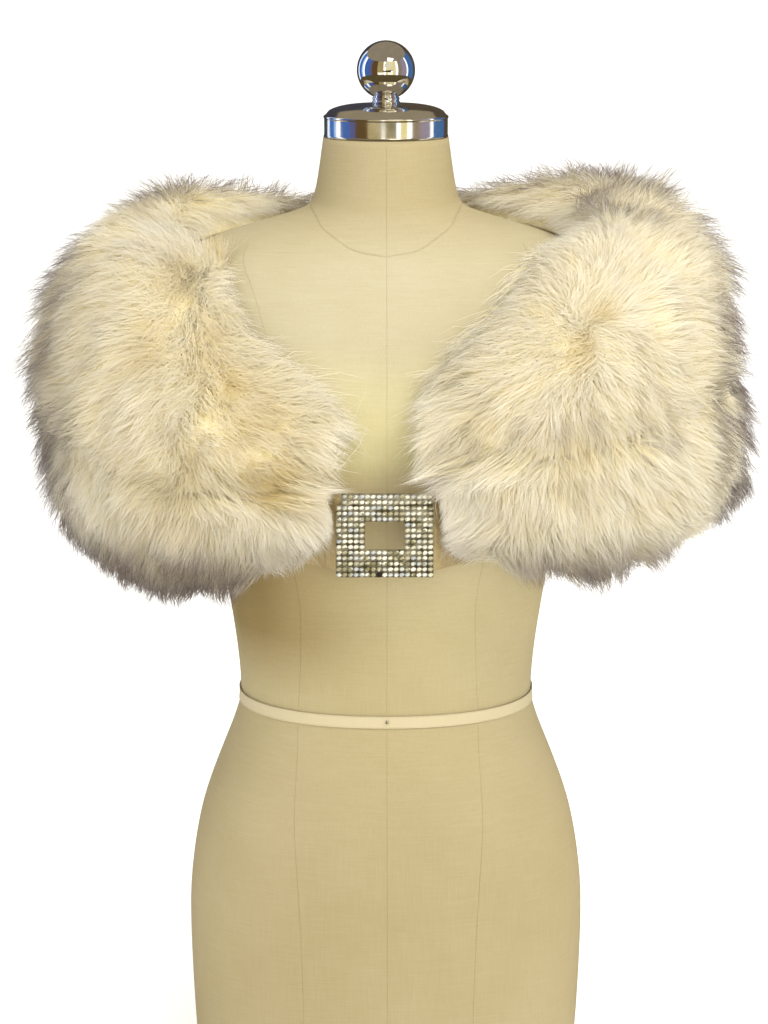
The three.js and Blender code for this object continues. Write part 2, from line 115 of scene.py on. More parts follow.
# The furrier's combing of the front: x and level of a spot, then the way the hair lies there
COMB_FRONT = {
    1: [
        (50, 330, -1, -0.2), (90, 350, -1, -0.02), (130, 305, -1, -0.2), (62, 290, -1, -0.5),
        (100, 275, -0.75, -0.6), (176, 362, 0.35, 0.9), (150, 290, -0.55, -0.8),
        (135, 375, -0.6, 0.6), (215, 392, 0.6, 0.8), (235, 340, 0.95, 0.1), (258, 300, 1, -0.05),
        (262, 235, 1, -0.25), (95, 405, -0.35, 1), (160, 428, 0.1, 1), (205, 422, 0.45, 1),
        (60, 200, -0.35, -1), (68, 240, -0.6, -0.75), (100, 190, -0.1, -1), (150, 185, 0.1, -1),
        (200, 195, 0.4, -1), (240, 205, 0.8, -0.65), (255, 172, 0.75, -0.6), (120, 150, 0, -1),
        (185, 150, 0.25, -1), (150, 245, 0.1, -1), (200, 262, 0.55, -0.8), (185, 310, 0.5, -0.7),
        (50, 166, -0.9, -0.5),
    ],
    -1: [
        (-190, 205, -0.8, -0.6), (-156, 182, -0.05, -1), (-130, 216, 0.85, -0.5),
        (-130, 243, 1, -0.4), (-100, 226, 1, -0.45), (-72, 202, 0.9, -0.5), (-50, 186, 0.8, -0.6),
        (-232, 222, -0.6, -0.8), (-252, 300, -0.9, -0.45), (-242, 352, -0.85, -0.35),
        (-266, 260, -1, -0.2), (-195, 350, -0.8, -0.6), (-160, 330, -0.35, -0.9),
        (-170, 275, -0.3, -0.95), (-135, 310, 0.2, -0.95), (-62, 284, 0.8, -0.55),
        (-95, 275, 0.6, -0.8), (-180, 428, -0.5, 0.9), (-122, 436, -0.1, 1), (-222, 412, -0.8, 0.7),
        (-118, 352, 0.7, -0.7), (-98, 318, 0.8, -0.6), (-78, 292, 0.85, -0.5),
        (-150, 378, -0.5, -0.7), (-178, 402, -1, 0.15), (-140, 408, -0.9, 0.35),
        (-232, 170, -0.45, -1), (-182, 152, -0.1, -1), (-122, 152, 0.1, -1),
        (-82, 162, 0.3, -1), (-66, 168, 0.6, -0.8), (-205, 300, -0.65, -0.75),
    ],
}

# Combing of the sides and back: azimuth, place from neckline to hem, away from the front, down
COMB_BACK = [
    (62, 0.03, -0.3, -1), (76, 0.03, 0, -1), (104, 0.03, 0, -1), (126, 0.03, 0, -1), (150, 0.03, 0, -1),
    (90, 0.05, 0, -1), (90, 0.3, 0.2, 0.5), (95, 0.6, 0.4, 1), (95, 0.9, 0.3, 1),
    (115, 0.06, 0, -1), (118, 0.3, 0.4, 0.9), (115, 0.6, 0.1, 1), (120, 0.92, 0.25, 1),
    (140, 0.07, 0.1, -1), (142, 0.3, -0.3, 1), (140, 0.6, 0.25, 1), (145, 0.9, -0.1, 1),
    (165, 0.08, 0, -1), (164, 0.35, 0.35, 1), (166, 0.65, -0.2, 1), (165, 0.92, 0.1, 1),
]

# Patches of colour in the coat: x, level, radius and strength, front side only. The warm ones are painted
# shade in creases, whorls and partings, the dark ones painted shade in dips and partings
WARM_SHADE_PATCHES = [
    (-166, 366, 26, 0.6), (-126, 412, 26, 1.0), (-70, 202, 24, 1.0), (-150, 214, 16, 0.5),
    (176, 344, 14, 0.9), (146, 312, 16, 0.7), (85, 414, 26, 0.9), (-95, 215, 16, 0.5),
    (-166, 195, 46, 0.35), (-85, 250, 38, 0.4), (-200, 300, 26, 0.35), (-112, 278, 14, 0.8),
    (-136, 396, 12, 0.9), (60, 250, 18, 0.3), (150, 215, 30, 0.25), (-130, 300, 34, 0.3),
]
DIP_SHADE_PATCHES = [
    (94, 247, 7, 0.8), (136, 240, 9, 0.8), (163, 245, 7, 0.7), (221, 269, 7, 0.8),
    (212, 230, 7, 0.6), (233, 230, 8, 0.7), (56, 336, 9, 0.7), (30, 210, 8, 0.7),
    (-95, 217, 10, 0.45), (-175, 240, 10, 0.35),
]
PALE_PATCHES = [
    (-65, 167, 15, 0.9), (54, 168, 16, 0.9), (205, 350, 42, 0.5), (-215, 240, 40, 0.4),
    (-190, 395, 40, 0.5), (150, 390, 40, 0.35), (120, 280, 46, 0.35),
]


def smooth_value(rows, column, key):
    """Value of one column between the rows of a table, without overshoot."""
    last = len(rows) - 1
    if key <= rows[0][0]:
        return rows[0][column]
    if key >= rows[last][0]:
        return rows[last][column]
    at = max(i for i in range(last) if key >= rows[i][0])

    def slope(i):
        return (rows[i + 1][column] - rows[i][column]) / (rows[i + 1][0] - rows[i][0])

    def tangent(i):
        if i == 0:
            return slope(0)
        if i == last:
            return slope(last - 1)
        before = slope(i - 1)
        after = slope(i)
        return 0.0 if before * after <= 0 else 2 * before * after / (before + after)

    span = rows[at + 1][0] - rows[at][0]
    u = (key - rows[at][0]) / span
    rise = u * u * (3 - 2 * u)
    start = u * (1 - u) * (1 - u) * span * tangent(at)
    end = u * u * (u - 1) * span * tangent(at + 1)
    return rows[at][column] + (rows[at + 1][column] - rows[at][column]) * rise + start + end


def form_radius(azimuth, level):
    """Radius of the form's skin, in millimetres."""
    angle = math.radians(azimuth)
    turn = abs((azimuth + 540) % 360 - 180)
    depth = smooth_value(FORM, 2 if turn < 90 else 3, level)
    power = smooth_value(FORM, 4, level)
    across = (abs(math.sin(angle)) / smooth_value(FORM, 1, level)) ** power
    along = (abs(math.cos(angle)) / depth) ** power
    bust = math.exp(-(((turn - BUST_AZIMUTH) / 19) ** 2) - ((level - BUST_LEVEL) / 58) ** 2)
    return (across + along) ** (-1 / power) + BUST_RISE * bust


def place(azimuth, radius, level):
    """A point in millimetres from azimuth, radius and level above the waist."""
    angle = math.radians(azimuth)
    return Vector((radius * math.sin(angle), -radius * math.cos(angle), WAIST_HEIGHT + level))


# Colours and nodes

def linear(code):
    """Linear colour from a sheet colour such as EFE3C8."""
    parts = [int(code[i:i + 2], 16) / 255 for i in (0, 2, 4)]
    return tuple(p / 12.92 if p <= 0.04045 else ((p + 0.055) / 1.055) ** 2.4 for p in parts) + (1.0,)


def add_node(tree, kind, settings):
    """Adds one shader node with its properties, ramp stops, values and links from nodes or sockets."""
    node = tree.nodes.new("ShaderNode" + kind)
    for name, value in settings.items():
        if name == "stops":
            marks = node.color_ramp.elements
            while len(marks) < len(value):
                marks.new(0.5)
            for mark, (position, colour) in zip(marks, value):
                mark.position = position
                mark.color = linear(colour) if isinstance(colour, str) else colour
        elif isinstance(value, bpy.types.Node):
            tree.links.new(value.outputs[0], node.inputs[name])
        elif isinstance(value, bpy.types.NodeSocket):
            tree.links.new(value, node.inputs[name])
        elif isinstance(name, int) or name in node.inputs:
            node.inputs[name].default_value = value
        else:
            setattr(node, name, value)
    return node


def new_material(name):
    """An empty material, and add_node bound to its tree."""
    material = bpy.data.materials.new(name)
    material.use_nodes = True
    material.node_tree.nodes.clear()
    return material, partial(add_node, material.node_tree)


# Materials

def patterned_material(name, pattern, stops, relief, finish, stretch=None, fine=None):
    """A surface that one pattern colours, and the same or a finer one raises."""
    material, add = new_material(name)
    where = add("TexCoord", {}).outputs["Object"]
    if stretch:
        where = add("Mapping", {**stretch, "Vector": where})
    drawn = add(pattern[0], {**pattern[1], "Vector": where}).outputs["Fac"]
    tint = add("ValToRGB", {"Fac": drawn, "stops": stops})
    raised = drawn
    if fine:
        raised = add("TexNoise", {**fine, "Vector": where}).outputs["Fac"]
    bump = add("Bump", {"Strength": relief[0], "Distance": relief[1], "Height": raised})
    skin = add("BsdfPrincipled", {**finish, "Base Color": tint, "Normal": bump})
    add("OutputMaterial", {"Surface": skin})
    return material


def fur_material(name):
    """Bleached fur, long-haired: ivory strands, ochre towards the skin, with mauve-grey tips painted as shade
    where the coat turns away.
    """
    material, add = new_material(name)
    strand = add("UVMap", {"uv_map": "Strand"})
    parts = add("SeparateXYZ", {0: strand})
    coat = add("Attribute", {"attribute_name": "Coat"})
    tone = add("SeparateColor", {0: coat.outputs["Color"]})
    # From the skin to the tip the strand turns from ochre to ivory
    colour = add("ValToRGB", {"Fac": parts.outputs["Y"], "stops": [
        (0.0, "D6C796"), (0.25, "E9DEB6"), (0.5, "F2EACC"), (0.85, "F8F4E8"), (1.0, "FBF8EF")]}).outputs[0]
    tip_share = add("MapRange", {"From Min": 0.35, "From Max": 1.0, "Value": parts.outputs["Y"]})
    grey_shade_share = add("Math", {"operation": "MULTIPLY", 0: tip_share, 1: tone.outputs[0]})
    # Each strand is a little lighter or darker than the next
    lightness = add("Math", {"operation": "MULTIPLY_ADD", 0: parts.outputs["X"], 1: 0.12, 2: 0.9})
    own_light = add("CombineColor", {0: lightness, 1: lightness, 2: lightness})
    # Painted warm shade in creases and partings, grey tips as painted shade, whitish tufts, then the strand's
    # own lightness
    for share, second, blend in (
            (tone.outputs[1], linear("DCC98E"), "MIX"), (grey_shade_share, linear("86776F"), "MIX"),
            (tone.outputs[2], linear("FBF6EA"), "MIX"), (1.0, own_light, "MULTIPLY")):
        mix = add("Mix", {"data_type": "RGBA", "blend_type": blend, 0: share, 6: colour, 7: second})
        colour = mix.outputs[2]
    gloss = add("BsdfPrincipled", {
        "Roughness": 0.55, "IOR": 1.55, "Sheen Weight": 0.25, "Sheen Roughness": 0.45, "Base Color": colour})
    glow = add("BsdfTranslucent", {"Color": colour})
    blended = add("MixShader", {0: 0.58, 1: gloss, 2: glow})
    add("OutputMaterial", {"Surface": blended})
    return material


def linen_material(name="linen_plain_weave", light="C9BA92", dark="B2A173"):
    """Undyed linen, plain weave, stretched and glued: ochre, slubby, almost matt."""
    material, add = new_material(name)
    where = add("TexCoord", {}).outputs["Object"]
    # Threads are 0.45 mm in the real cloth; drawn at about 0.9 mm so that the weave holds in the picture
    yarns = []
    for thread_size in ((45.0, 45.0, 1100.0), (1100.0, 1100.0, 45.0)):
        run = add("Mapping", {"Scale": thread_size, "Vector": where})
        yarns.append(add("TexNoise", {"Scale": 1.0, "Detail": 2.0, "Vector": run}).outputs["Fac"])
    threads = add("Math", {"operation": "ADD", 0: yarns[0], 1: yarns[1]})
    cloud = add("TexNoise", {"Scale": 7.0, "Detail": 3.0, "Vector": where})
    quarter = add("Math", {"operation": "MULTIPLY", 0: threads, 1: 0.25})
    shade = add("Math", {"operation": "MULTIPLY_ADD", 0: cloud.outputs["Fac"], 1: 0.5, 2: quarter})
    woven = add("ValToRGB", {"Fac": shade, "stops": [(0.25, dark), (0.75, light)]})
    # Painted light and shade by height: brightest on the lower chest, darker down towards the hips and up at
    # the neck
    spot = add("SeparateXYZ", {0: where})
    painted_light_ramp = add("ValToRGB", {"Fac": spot.outputs["Z"], "stops": [
        (0.30, (0.58, 0.58, 0.58, 1)), (0.46, (0.71, 0.73, 0.73, 1)), (0.555, (0.77, 0.78, 0.82, 1)),
        (0.58, (0.92, 1.0, 1.0, 1)), (0.61, (0.90, 0.97, 0.99, 1)), (0.67, (0.68, 0.72, 0.82, 1)),
        (0.73, (0.68, 0.72, 0.83, 1)), (0.775, (0.57, 0.57, 0.57, 1))]})
    weave_with_painted_light = add("Mix", {
        "data_type": "RGBA", "blend_type": "MULTIPLY", 0: 1.0, 6: woven, 7: painted_light_ramp}).outputs[2]
    # Painted shadow of the left fur: on the left front, from above the waist to the buckle's top, the cover
    # is painted browner
    painted_shadow_share = add("ValToRGB", {"Fac": spot.outputs["Z"], "stops": [
        (0.375, "000000"), (0.43, "FFFFFF"), (0.55, "FFFFFF"), (0.60, "000000")]})
    for axis, start, end in (("X", 0.01, -0.10), ("Y", 0.02, -0.04)):
        side = add("MapRange", {"From Min": start, "From Max": end, "Value": spot.outputs[axis]})
        painted_shadow_share = add("Math", {"operation": "MULTIPLY", 0: side, 1: painted_shadow_share})
    painted_shadow = add("Mix", {
        "data_type": "RGBA", "blend_type": "MULTIPLY", 0: 1.0, 6: weave_with_painted_light, 7: (0.56, 0.48, 0.33, 1.0)})
    colour = add("Mix", {"data_type": "RGBA", 0: painted_shadow_share, 6: weave_with_painted_light, 7: painted_shadow.outputs[2]})
    bump = add("Bump", {"Strength": 0.25, "Distance": 0.0004, "Height": threads})
    cloth = add("BsdfPrincipled", {
        "Roughness": 0.85, "Specular IOR Level": 0.15, "Base Color": colour.outputs[2], "Normal": bump})
    add("OutputMaterial", {"Surface": cloth})
    return material


def metal_material(name, tint, roughness, wear_scale=160.0, wear=0.06):
    """Polished metal: clear reflections with faint polishing marks and fingerprints."""
    material, add = new_material(name)
    where = add("TexCoord", {}).outputs["Object"]
    marks = add("TexNoise", {"Scale": wear_scale, "Detail": 4.0, "Vector": where}).outputs["Fac"]
    rough = add("MapRange", {
        "From Min": 0.35, "From Max": 0.75, "To Min": roughness, "To Max": roughness + wear, "Value": marks})
    colour = add("ValToRGB", {"Fac": marks, "stops": [(0.3, tint), (0.8, "EEEAE2")]})
    metal = add("BsdfPrincipled", {"Metallic": 1.0, "Base Color": colour, "Roughness": rough})
    add("OutputMaterial", {"Surface": metal})
    return material


def stone_material():
    """Foil-backed cut glass: white fire on the facets, a faint warm cast in some stones."""
    material, add = new_material("cut_glass_foiled")
    where = add("TexCoord", {}).outputs["Object"]
    each = add("TexVoronoi", {"Scale": 210.0, "Vector": where})
    pick = add("SeparateColor", {0: each.outputs["Color"]})
    colour = add("ValToRGB", {"Fac": pick, "stops": [
        (0.0, "6E6848"), (0.3, "A39D80"), (0.6, "D9D5C0"), (0.9, "9C9F9C")]})
    cut_glass = add("BsdfPrincipled", {
        "Roughness": 0.06, "IOR": 1.7, "Coat Weight": 0.6, "Coat Roughness": 0.03, "Base Color": colour})
    add("OutputMaterial", {"Surface": cut_glass})
    return material


def plain_material(name, kind, settings):
    """A small or unseen surface with one even finish."""
    material, add = new_material(name)
    add("OutputMaterial", {"Surface": add(kind, settings)})
    return material


# Pieces

def new_object(name, data, material=None):
    """A new object in the scene, with its material if it has one."""
    thing = bpy.data.objects.new(name, data)
    bpy.context.scene.collection.objects.link(thing)
    if material:
        data.materials.append(material)
    return thing


def smooth_object(name, shape, material):
    """Turns a bmesh into an object with smooth shading."""
    mesh = bpy.data.meshes.new(name)
    shape.to_mesh(mesh)
    shape.free()
    for polygon in mesh.polygons:
        polygon.use_smooth = True
    return new_object(name, mesh, material)


def declare_piece(piece, nodes=()):
    """Says what the piece rides on and the nodes it stands for."""
    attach(piece, "root")
    if nodes:
        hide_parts(*nodes)


def finish_piece(name, shape, material, nodes=(), crisp=None):
    """Turns a bmesh into a piece of the part; edges sharper than crisp degrees stay sharp."""
    piece = smooth_object(name, shape, material)
    declare_piece(piece, nodes)
    if crisp:
        sharp = bmesh.new()
        sharp.from_mesh(piece.data)
        for edge in sharp.edges:
            if len(edge.link_faces) == 2 and edge.calc_face_angle() > math.radians(crisp):
                edge.smooth = False
        sharp.to_mesh(piece.data)
        sharp.free()
    return piece


def copy_of_node(node):
    """The CAD node's mesh with its loose triangles joined up again."""
    shape = bmesh.new()
    shape.from_mesh(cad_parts[node].data)
    bmesh.ops.remove_doubles(shape, verts=shape.verts, dist=0.00001)
    return shape


def spun_shape(outline, segments):
    """A turned piece from radius and height in millimetres, spun round the form's axis."""
    shape = bmesh.new()
    verts = [shape.verts.new((radius / 1000, 0, height / 1000)) for radius, height in outline]
    edges = [shape.edges.new(pair) for pair in zip(verts[:-1], verts[1:])]
    bmesh.ops.spin(shape, geom=verts + edges, cent=(0, 0, 0), axis=(0, 0, 1), dvec=(0, 0, 0),
                   angle=math.tau, steps=segments, use_merge=True, use_duplicate=False)
    bmesh.ops.remove_doubles(shape, verts=shape.verts, dist=0.000002)
    bmesh.ops.recalc_face_normals(shape, faces=shape.faces)
    return shape


def tube_curve(name, points, radius, material, closed=False):
    """A round cord of thread or a ridge that follows points given in metres."""
    curve = bpy.data.curves.new(name, "CURVE")
    curve.dimensions = "3D"
    curve.bevel_depth = radius
    curve.bevel_resolution = 1
    spline = curve.splines.new("POLY")
    spline.points.add(len(points) - 1)
    for point, where in zip(spline.points, points):
        point.co = (*where, 1.0)
    spline.use_cyclic_u = closed
    spline.use_smooth = True
    piece = new_object(name, curve, material)
    declare_piece(piece)
    return piece


linen = linen_material()
seam_linen = linen_material("linen_seam_fold", "BCAE86", "A59467")
# Cotton twill tape: cream with a fine slanting rib, 0.5 mm in the real tape, drawn at 1 mm
tape = patterned_material(
    "cotton_twill_tape", ("TexWave", {"bands_direction": "Z", "Scale": 320.0, "Distortion": 0.4}),
    [(0.2, "A79A7A"), (0.8, "B7AB89")], (0.3, 0.0003), {"Roughness": 0.8},
    stretch={"Rotation": (0.0, math.radians(35), 0.0)})
# Silk satin: a soft gloss along floats that run upwards, 0.3 mm in the real cloth, drawn at 0.6 mm; the cream
# cloth is painted the brown of its shade
satin = patterned_material(
    "silk_satin_painted_shade", ("TexNoise", {"Scale": 1.0, "Detail": 2.0}),
    [(0.3, "8A784E"), (0.7, "A49268")], (0.15, 0.0002),
    {"Roughness": 0.45, "Sheen Weight": 0.05, "Anisotropic": 0.4}, stretch={"Scale": (1600.0, 1600.0, 60.0)})
# Plain birch board, oiled: straight pale grain
board = patterned_material(
    "birch_board_oiled", ("TexNoise", {"Scale": 2.0, "Detail": 6.0, "Distortion": 0.6}),
    [(0.3, "A58A5C"), (0.7, "C9B184")], (0.2, 0.0005), {"Roughness": 0.6},
    stretch={"Scale": (4.0, 60.0, 60.0)})
# Dense underfur: warm woolly depth that shows between the locks
wool = patterned_material(
    "underfur_wool", ("TexNoise", {"Scale": 90.0, "Detail": 5.0, "Roughness": 0.65}),
    [(0.3, "D3C08C"), (0.52, "E5D9AE"), (0.72, "F0E8CB")], (0.8, 0.002),
    {"Roughness": 0.9, "IOR": 1.5}, fine={"Scale": 900.0, "Detail": 3.0})
# Dressed hide, suede side: matt warm white skin with a fine nap, seen on the inside of the wrap
suede = patterned_material(
    "dressed_hide_suede", ("TexNoise", {"Scale": 24.0, "Detail": 4.0}),
    [(0.35, "D8C6A2"), (0.65, "E9DDC3")], (0.4, 0.0004),
    {"Roughness": 0.88, "Sheen Weight": 0.3}, fine={"Scale": 1400.0, "Detail": 2.0})
fur = fur_material("bleached_fur_long")
cap_steel = metal_material("polished_steel", "E4E0D6", 0.1, 90.0, 0.08)
chrome = metal_material("mirror_chrome", "DADBDC", 0.025, 240.0, 0.03)
setting_metal = metal_material("silvered_setting", "6E6748", 0.4)
glass = stone_material()
dark_gap = metal_material("setting_brass_dull", "4C4630", 0.45)
# The lost stone's setting: a near-black, dull fill
lost_stone_fill = plain_material("lost_stone_dark_fill", "BsdfPrincipled", {
    "Base Color": linear("1C140C"), "Roughness": 0.7})


# The dress form: the CAD shell smoothed and dressed in linen
form_shape = copy_of_node("form_body")
bmesh.ops.join_triangles(form_shape, faces=form_shape.faces, cmp_seam=False, cmp_sharp=False, cmp_uvs=False,
                         cmp_vcols=False, cmp_materials=False, angle_face_threshold=math.radians(60),
                         angle_shape_threshold=math.radians(80))
crease = form_shape.edges.layers.float.new("crease_edge")
for edge in form_shape.edges:
    if len(edge.link_faces) == 2 and edge.calc_face_angle() > math.radians(55):
        edge[crease] = 1.0
form_cover = finish_piece("form_cover", form_shape, linen, ["form_body"])
form_smooth = form_cover.modifiers.new("Smooth", "SUBSURF")
form_smooth.levels = 2
form_smooth.render_levels = 2

cover_tree = BVHTree.FromObject(form_cover, bpy.context.evaluated_depsgraph_get())


def cover_spot(azimuth, level, lift):
    """A point on the smoothed linen cover, lifted outwards by some millimetres."""
    start = place(azimuth, 400, level) / 1000
    inward = place(azimuth, -1, 0) - place(azimuth, 0, 0)
    hit = cover_tree.ray_cast(start, inward)[0]
    return hit - inward * lift / 1000


board_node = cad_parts["base_board"]
board_node.data.materials.clear()
board_node.data.materials.append(board)


def seam_points(stops, lift, count=60):
    """Points on the form's skin along a seam given by azimuth and level."""
    points = []
    for step in range(count + 1):
        share = step / count * (len(stops) - 1)
        at = min(int(share), len(stops) - 2)
        u = share - at
        before = stops[max(at - 1, 0)]
        start = stops[at]
        end = stops[at + 1]
        after = stops[min(at + 2, len(stops) - 1)]
        spot = []
        for i in (0, 1):
            bend = (2 * start[i] + (end[i] - before[i]) * u
                    + (2 * before[i] - 5 * start[i] + 4 * end[i] - after[i]) * u * u
                    + (3 * start[i] - before[i] - 3 * end[i] + after[i]) * u ** 3) / 2
            spot.append(bend)
        points.append(cover_spot(spot[0], spot[1], lift))
    return points


# Seams of the linen cover, pressed flat: only a fine ridge shows
SEAMS = {
    "seam_centre_front": [(0.6, -346), (0.6, -200), (0.5, -60), (0.5, -8)],
    "seam_centre_chest": [(0.5, 8), (0.4, 120), (0.4, 260), (0.4, 376)],
    "seam_centre_neck": [(0.4, 377), (0.4, 400), (0.3, 430), (0.3, 462)],
    "seam_princess_left_low": [(-34, -346), (-35, -180), (-39, -60), (-42, -8)],
    "seam_princess_left": [(-42, 8), (-39, 60), (-34, 130), (-34, 230), (-52, 330), (-70, 384)],
    "seam_princess_right_low": [(36, -346), (37, -180), (41, -60), (44, -8)],
    "seam_princess_right": [(44, 8), (41, 60), (35, 130), (35, 230), (52, 330), (70, 384)],
    "seam_back_centre_low": [(180, -346), (180, -180), (180, -60), (180, -8)],
    "seam_back_centre": [(180, 8), (180, 150), (180, 300), (180, 420)],
    "seam_side_right_low": [(92, -346), (91, -180), (91, -60), (91, -8)],
    "seam_side_left_low": [(-92, -346), (-91, -180), (-91, -60), (-91, -8)],
    "seam_side_right": [(91, 8), (91, 120), (90, 240), (90, 330)],
    "seam_side_left": [(-91, 8), (-91, 120), (-90, 240), (-90, 330)],
}
# Radius of the ridges in metres, and their lift over the cover in millimetres
SEAM_RADIUS = 0.0003
NECK_SEAM_RADIUS = 0.00035
SHOWN_LIFT = -0.14
SUNK_LIFT = -0.2
NECK_SEAM_LIFT = -0.1
for seam_name, stops in SEAMS.items():
    shows = "centre_" in seam_name or "princess" in seam_name
    tube_curve(seam_name, seam_points(stops, SHOWN_LIFT if shows else SUNK_LIFT, 90), SEAM_RADIUS,
               seam_linen if shows else linen)

# The neck seam dips in front and rises over the shoulders to the back: azimuth, level
NECK_LINE = [(0, 376), (20, 380), (40, 394), (55, 405), (70, 410), (90, 414), (180, 428)]
neck_line = []
for step in range(120):
    azimuth = step * 3 - 180
    neck_line.append((azimuth, smooth_value(NECK_LINE, 1, abs(azimuth))))
for edge, shift in (("low", -0.3), ("high", 0.3)):
    points = [cover_spot(azimuth, level + shift, NECK_SEAM_LIFT) for azimuth, level in neck_line]
    tube_curve(f"seam_neck_{edge}", points, NECK_SEAM_RADIUS, linen, closed=True)


# The waist tape: a thin band with a turned edge above and below, and the pin that closes it
def tape_band(low, high, inside, outside, segments=160):
    """A closed band round the waist, from its levels and its distances from the form's skin."""
    shape = bmesh.new()
    rings = []
    for radius_lift, level in ((inside, low), (outside, low), (outside, high), (inside, high)):
        ring = []
        for step in range(segments):
            azimuth = 360 * step / segments
            spot = place(azimuth, form_radius(azimuth, level) + radius_lift, level) / 1000
            ring.append(shape.verts.new(spot))
        edges = [shape.edges.new((ring[i], ring[(i + 1) % segments])) for i in range(segments)]
        rings.append(edges)
    for i in range(4):
        bmesh.ops.bridge_loops(shape, edges=rings[i] + rings[(i + 1) % 4])
    bmesh.ops.recalc_face_normals(shape, faces=shape.faces)
    return shape


waist_band = finish_piece("waist_band", tape_band(-5, 5, 0.3, 1.15), tape,
                          ["waist_tape"], crisp=40)
tape_edges = [
    finish_piece("tape_edge_low", tape_band(-5.0, -4.2, 1.0, 1.35), tape),
    finish_piece("tape_edge_high", tape_band(4.2, 5.0, 1.0, 1.35), tape),
]
pin_shape = bmesh.new()
bmesh.ops.create_uvsphere(pin_shape, u_segments=16, v_segments=8, radius=0.0016,
                          matrix=Matrix.Translation(Vector((0.0009, -0.0957, 0.3605))))
tape_pin = finish_piece("tape_pin", pin_shape, cap_steel)
tape_round = sum((form_radius(a + 1, 0) + form_radius(a, 0)) / 2 * math.radians(1) for a in range(360)) / 1000

# The neck cap: a rolled band below a shallow polished dome
band_outline = [(0, 0), (49.6, 0), (50.3, 0.4), (CAP_RADIUS, 1.2), (50.0, 2.0), (50.0, 2.2), (50.0, 14.4),
                (50.0, 14.6), (CAP_RADIUS, 15.4), (CAP_RADIUS, 16.6), (50.1, 17.2), (49.2, 17.5)]
cap_outline = [(radius, CAP_FOOT + height) for radius, height in band_outline]
for step in range(1, 13):
    share = step / 12
    radius = 49.2 - (49.2 - 13.5) * share
    cap_outline.append((radius, CAP_FOOT + 17.5 + 9.2 * math.sin(math.pi / 2 * share ** 0.55)))
cap_outline.append((0, CAP_FOOT + 26.7))
finish_piece("cap_turned", spun_shape(cap_outline, 128), cap_steel, ["neck_cap"], crisp=38)

# The stem with its collar, and the ball with a flat seat
collar_outline = [(0, 0), (11.4, 0), (STEM_RADIUS, 0.8), (10.9, 1.4), (10.6, 2.6), (11.1, 3.2),
                  (11.1, 4.0), (10.4, 4.6)]
stem_outline = [(radius, CAP_FOOT + 27.0 + height) for radius, height in collar_outline]
stem_outline += [(10.2, BALL_Z - 21.0), (0, BALL_Z - 21.0)]
finish_piece("stem_turned", spun_shape(stem_outline, 64), chrome, ["finial_stem"], crisp=38)
SEAT_ANGLE = 1.087
ball_outline = [(0, BALL_Z - 20.8), (10.9, BALL_Z - 20.8)]
for step in range(1, 33):
    angle = -SEAT_ANGLE + (math.pi / 2 + SEAT_ANGLE) * step / 32
    ball_outline.append((BALL_RADIUS * math.cos(angle), BALL_Z + BALL_RADIUS * math.sin(angle)))
finish_piece("ball_polished", spun_shape(ball_outline, 96), chrome, ["finial_ball"], crisp=50)


# The buckle: an open plate, a cup for each stone and a cut stone in each cup
def stone_places():
    """Centre of every stone and its column and row, in metres."""
    places = []
    for row in range(STONE_ROWS):
        for column in range(STONE_COLUMNS):
            in_window = column in WINDOW_COLUMNS and row in WINDOW_ROWS
            in_notch = column == 0 and row >= STONE_ROWS - 2
            if in_window or in_notch:
                continue
            x = BUCKLE_X + (column - (STONE_COLUMNS - 1) / 2) * STONE_PITCH
            z = BUCKLE_Z + (row - (STONE_ROWS - 1) / 2) * STONE_PITCH
            places.append((x / 1000, z / 1000, column, row))
    return places


def joined_copies(template, matrices):
    """One bmesh with a copy of the template at every matrix."""
    mesh = bpy.data.meshes.new("template")
    template.to_mesh(mesh)
    template.free()
    joined = bmesh.new()
    for matrix in matrices:
        start = len(joined.verts)
        joined.from_mesh(mesh)
        joined.verts.ensure_lookup_table()
        bmesh.ops.transform(joined, matrix=matrix, verts=joined.verts[start:])
    bpy.data.meshes.remove(mesh)
    return joined


def cone_shape(sides, back_radius, front_radius, depth, spot=(0, 0, 0)):
    """A short cone that faces the front, in metres."""
    shape = bmesh.new()
    bmesh.ops.create_cone(shape, cap_ends=True, cap_tris=False, segments=sides, radius1=back_radius,
                          radius2=front_radius, depth=depth,
                          matrix=Matrix.Translation(spot) @ Matrix.Rotation(math.pi / 2, 4, "X"))
    return shape


plate_shape = copy_of_node("buckle_frame")
bmesh.ops.dissolve_limit(plate_shape, angle_limit=math.radians(2), verts=plate_shape.verts,
                         edges=plate_shape.edges)
# The CAD frame reaches out to the stones; the plate's own front lies behind them, in metres
CAD_FRONT_Y = -0.149
PLATE_FRONT_Y = -0.1484
for vert in plate_shape.verts:
    if vert.co.y < CAD_FRONT_Y:
        vert.co.y = PLATE_FRONT_Y
bmesh.ops.bevel(plate_shape, geom=plate_shape.edges, offset=0.0003, offset_type="OFFSET", segments=2,
                profile=0.5, affect="EDGES", material=-1)
finish_piece("buckle_plate", plate_shape, dark_gap, ["buckle_frame"], crisp=30)

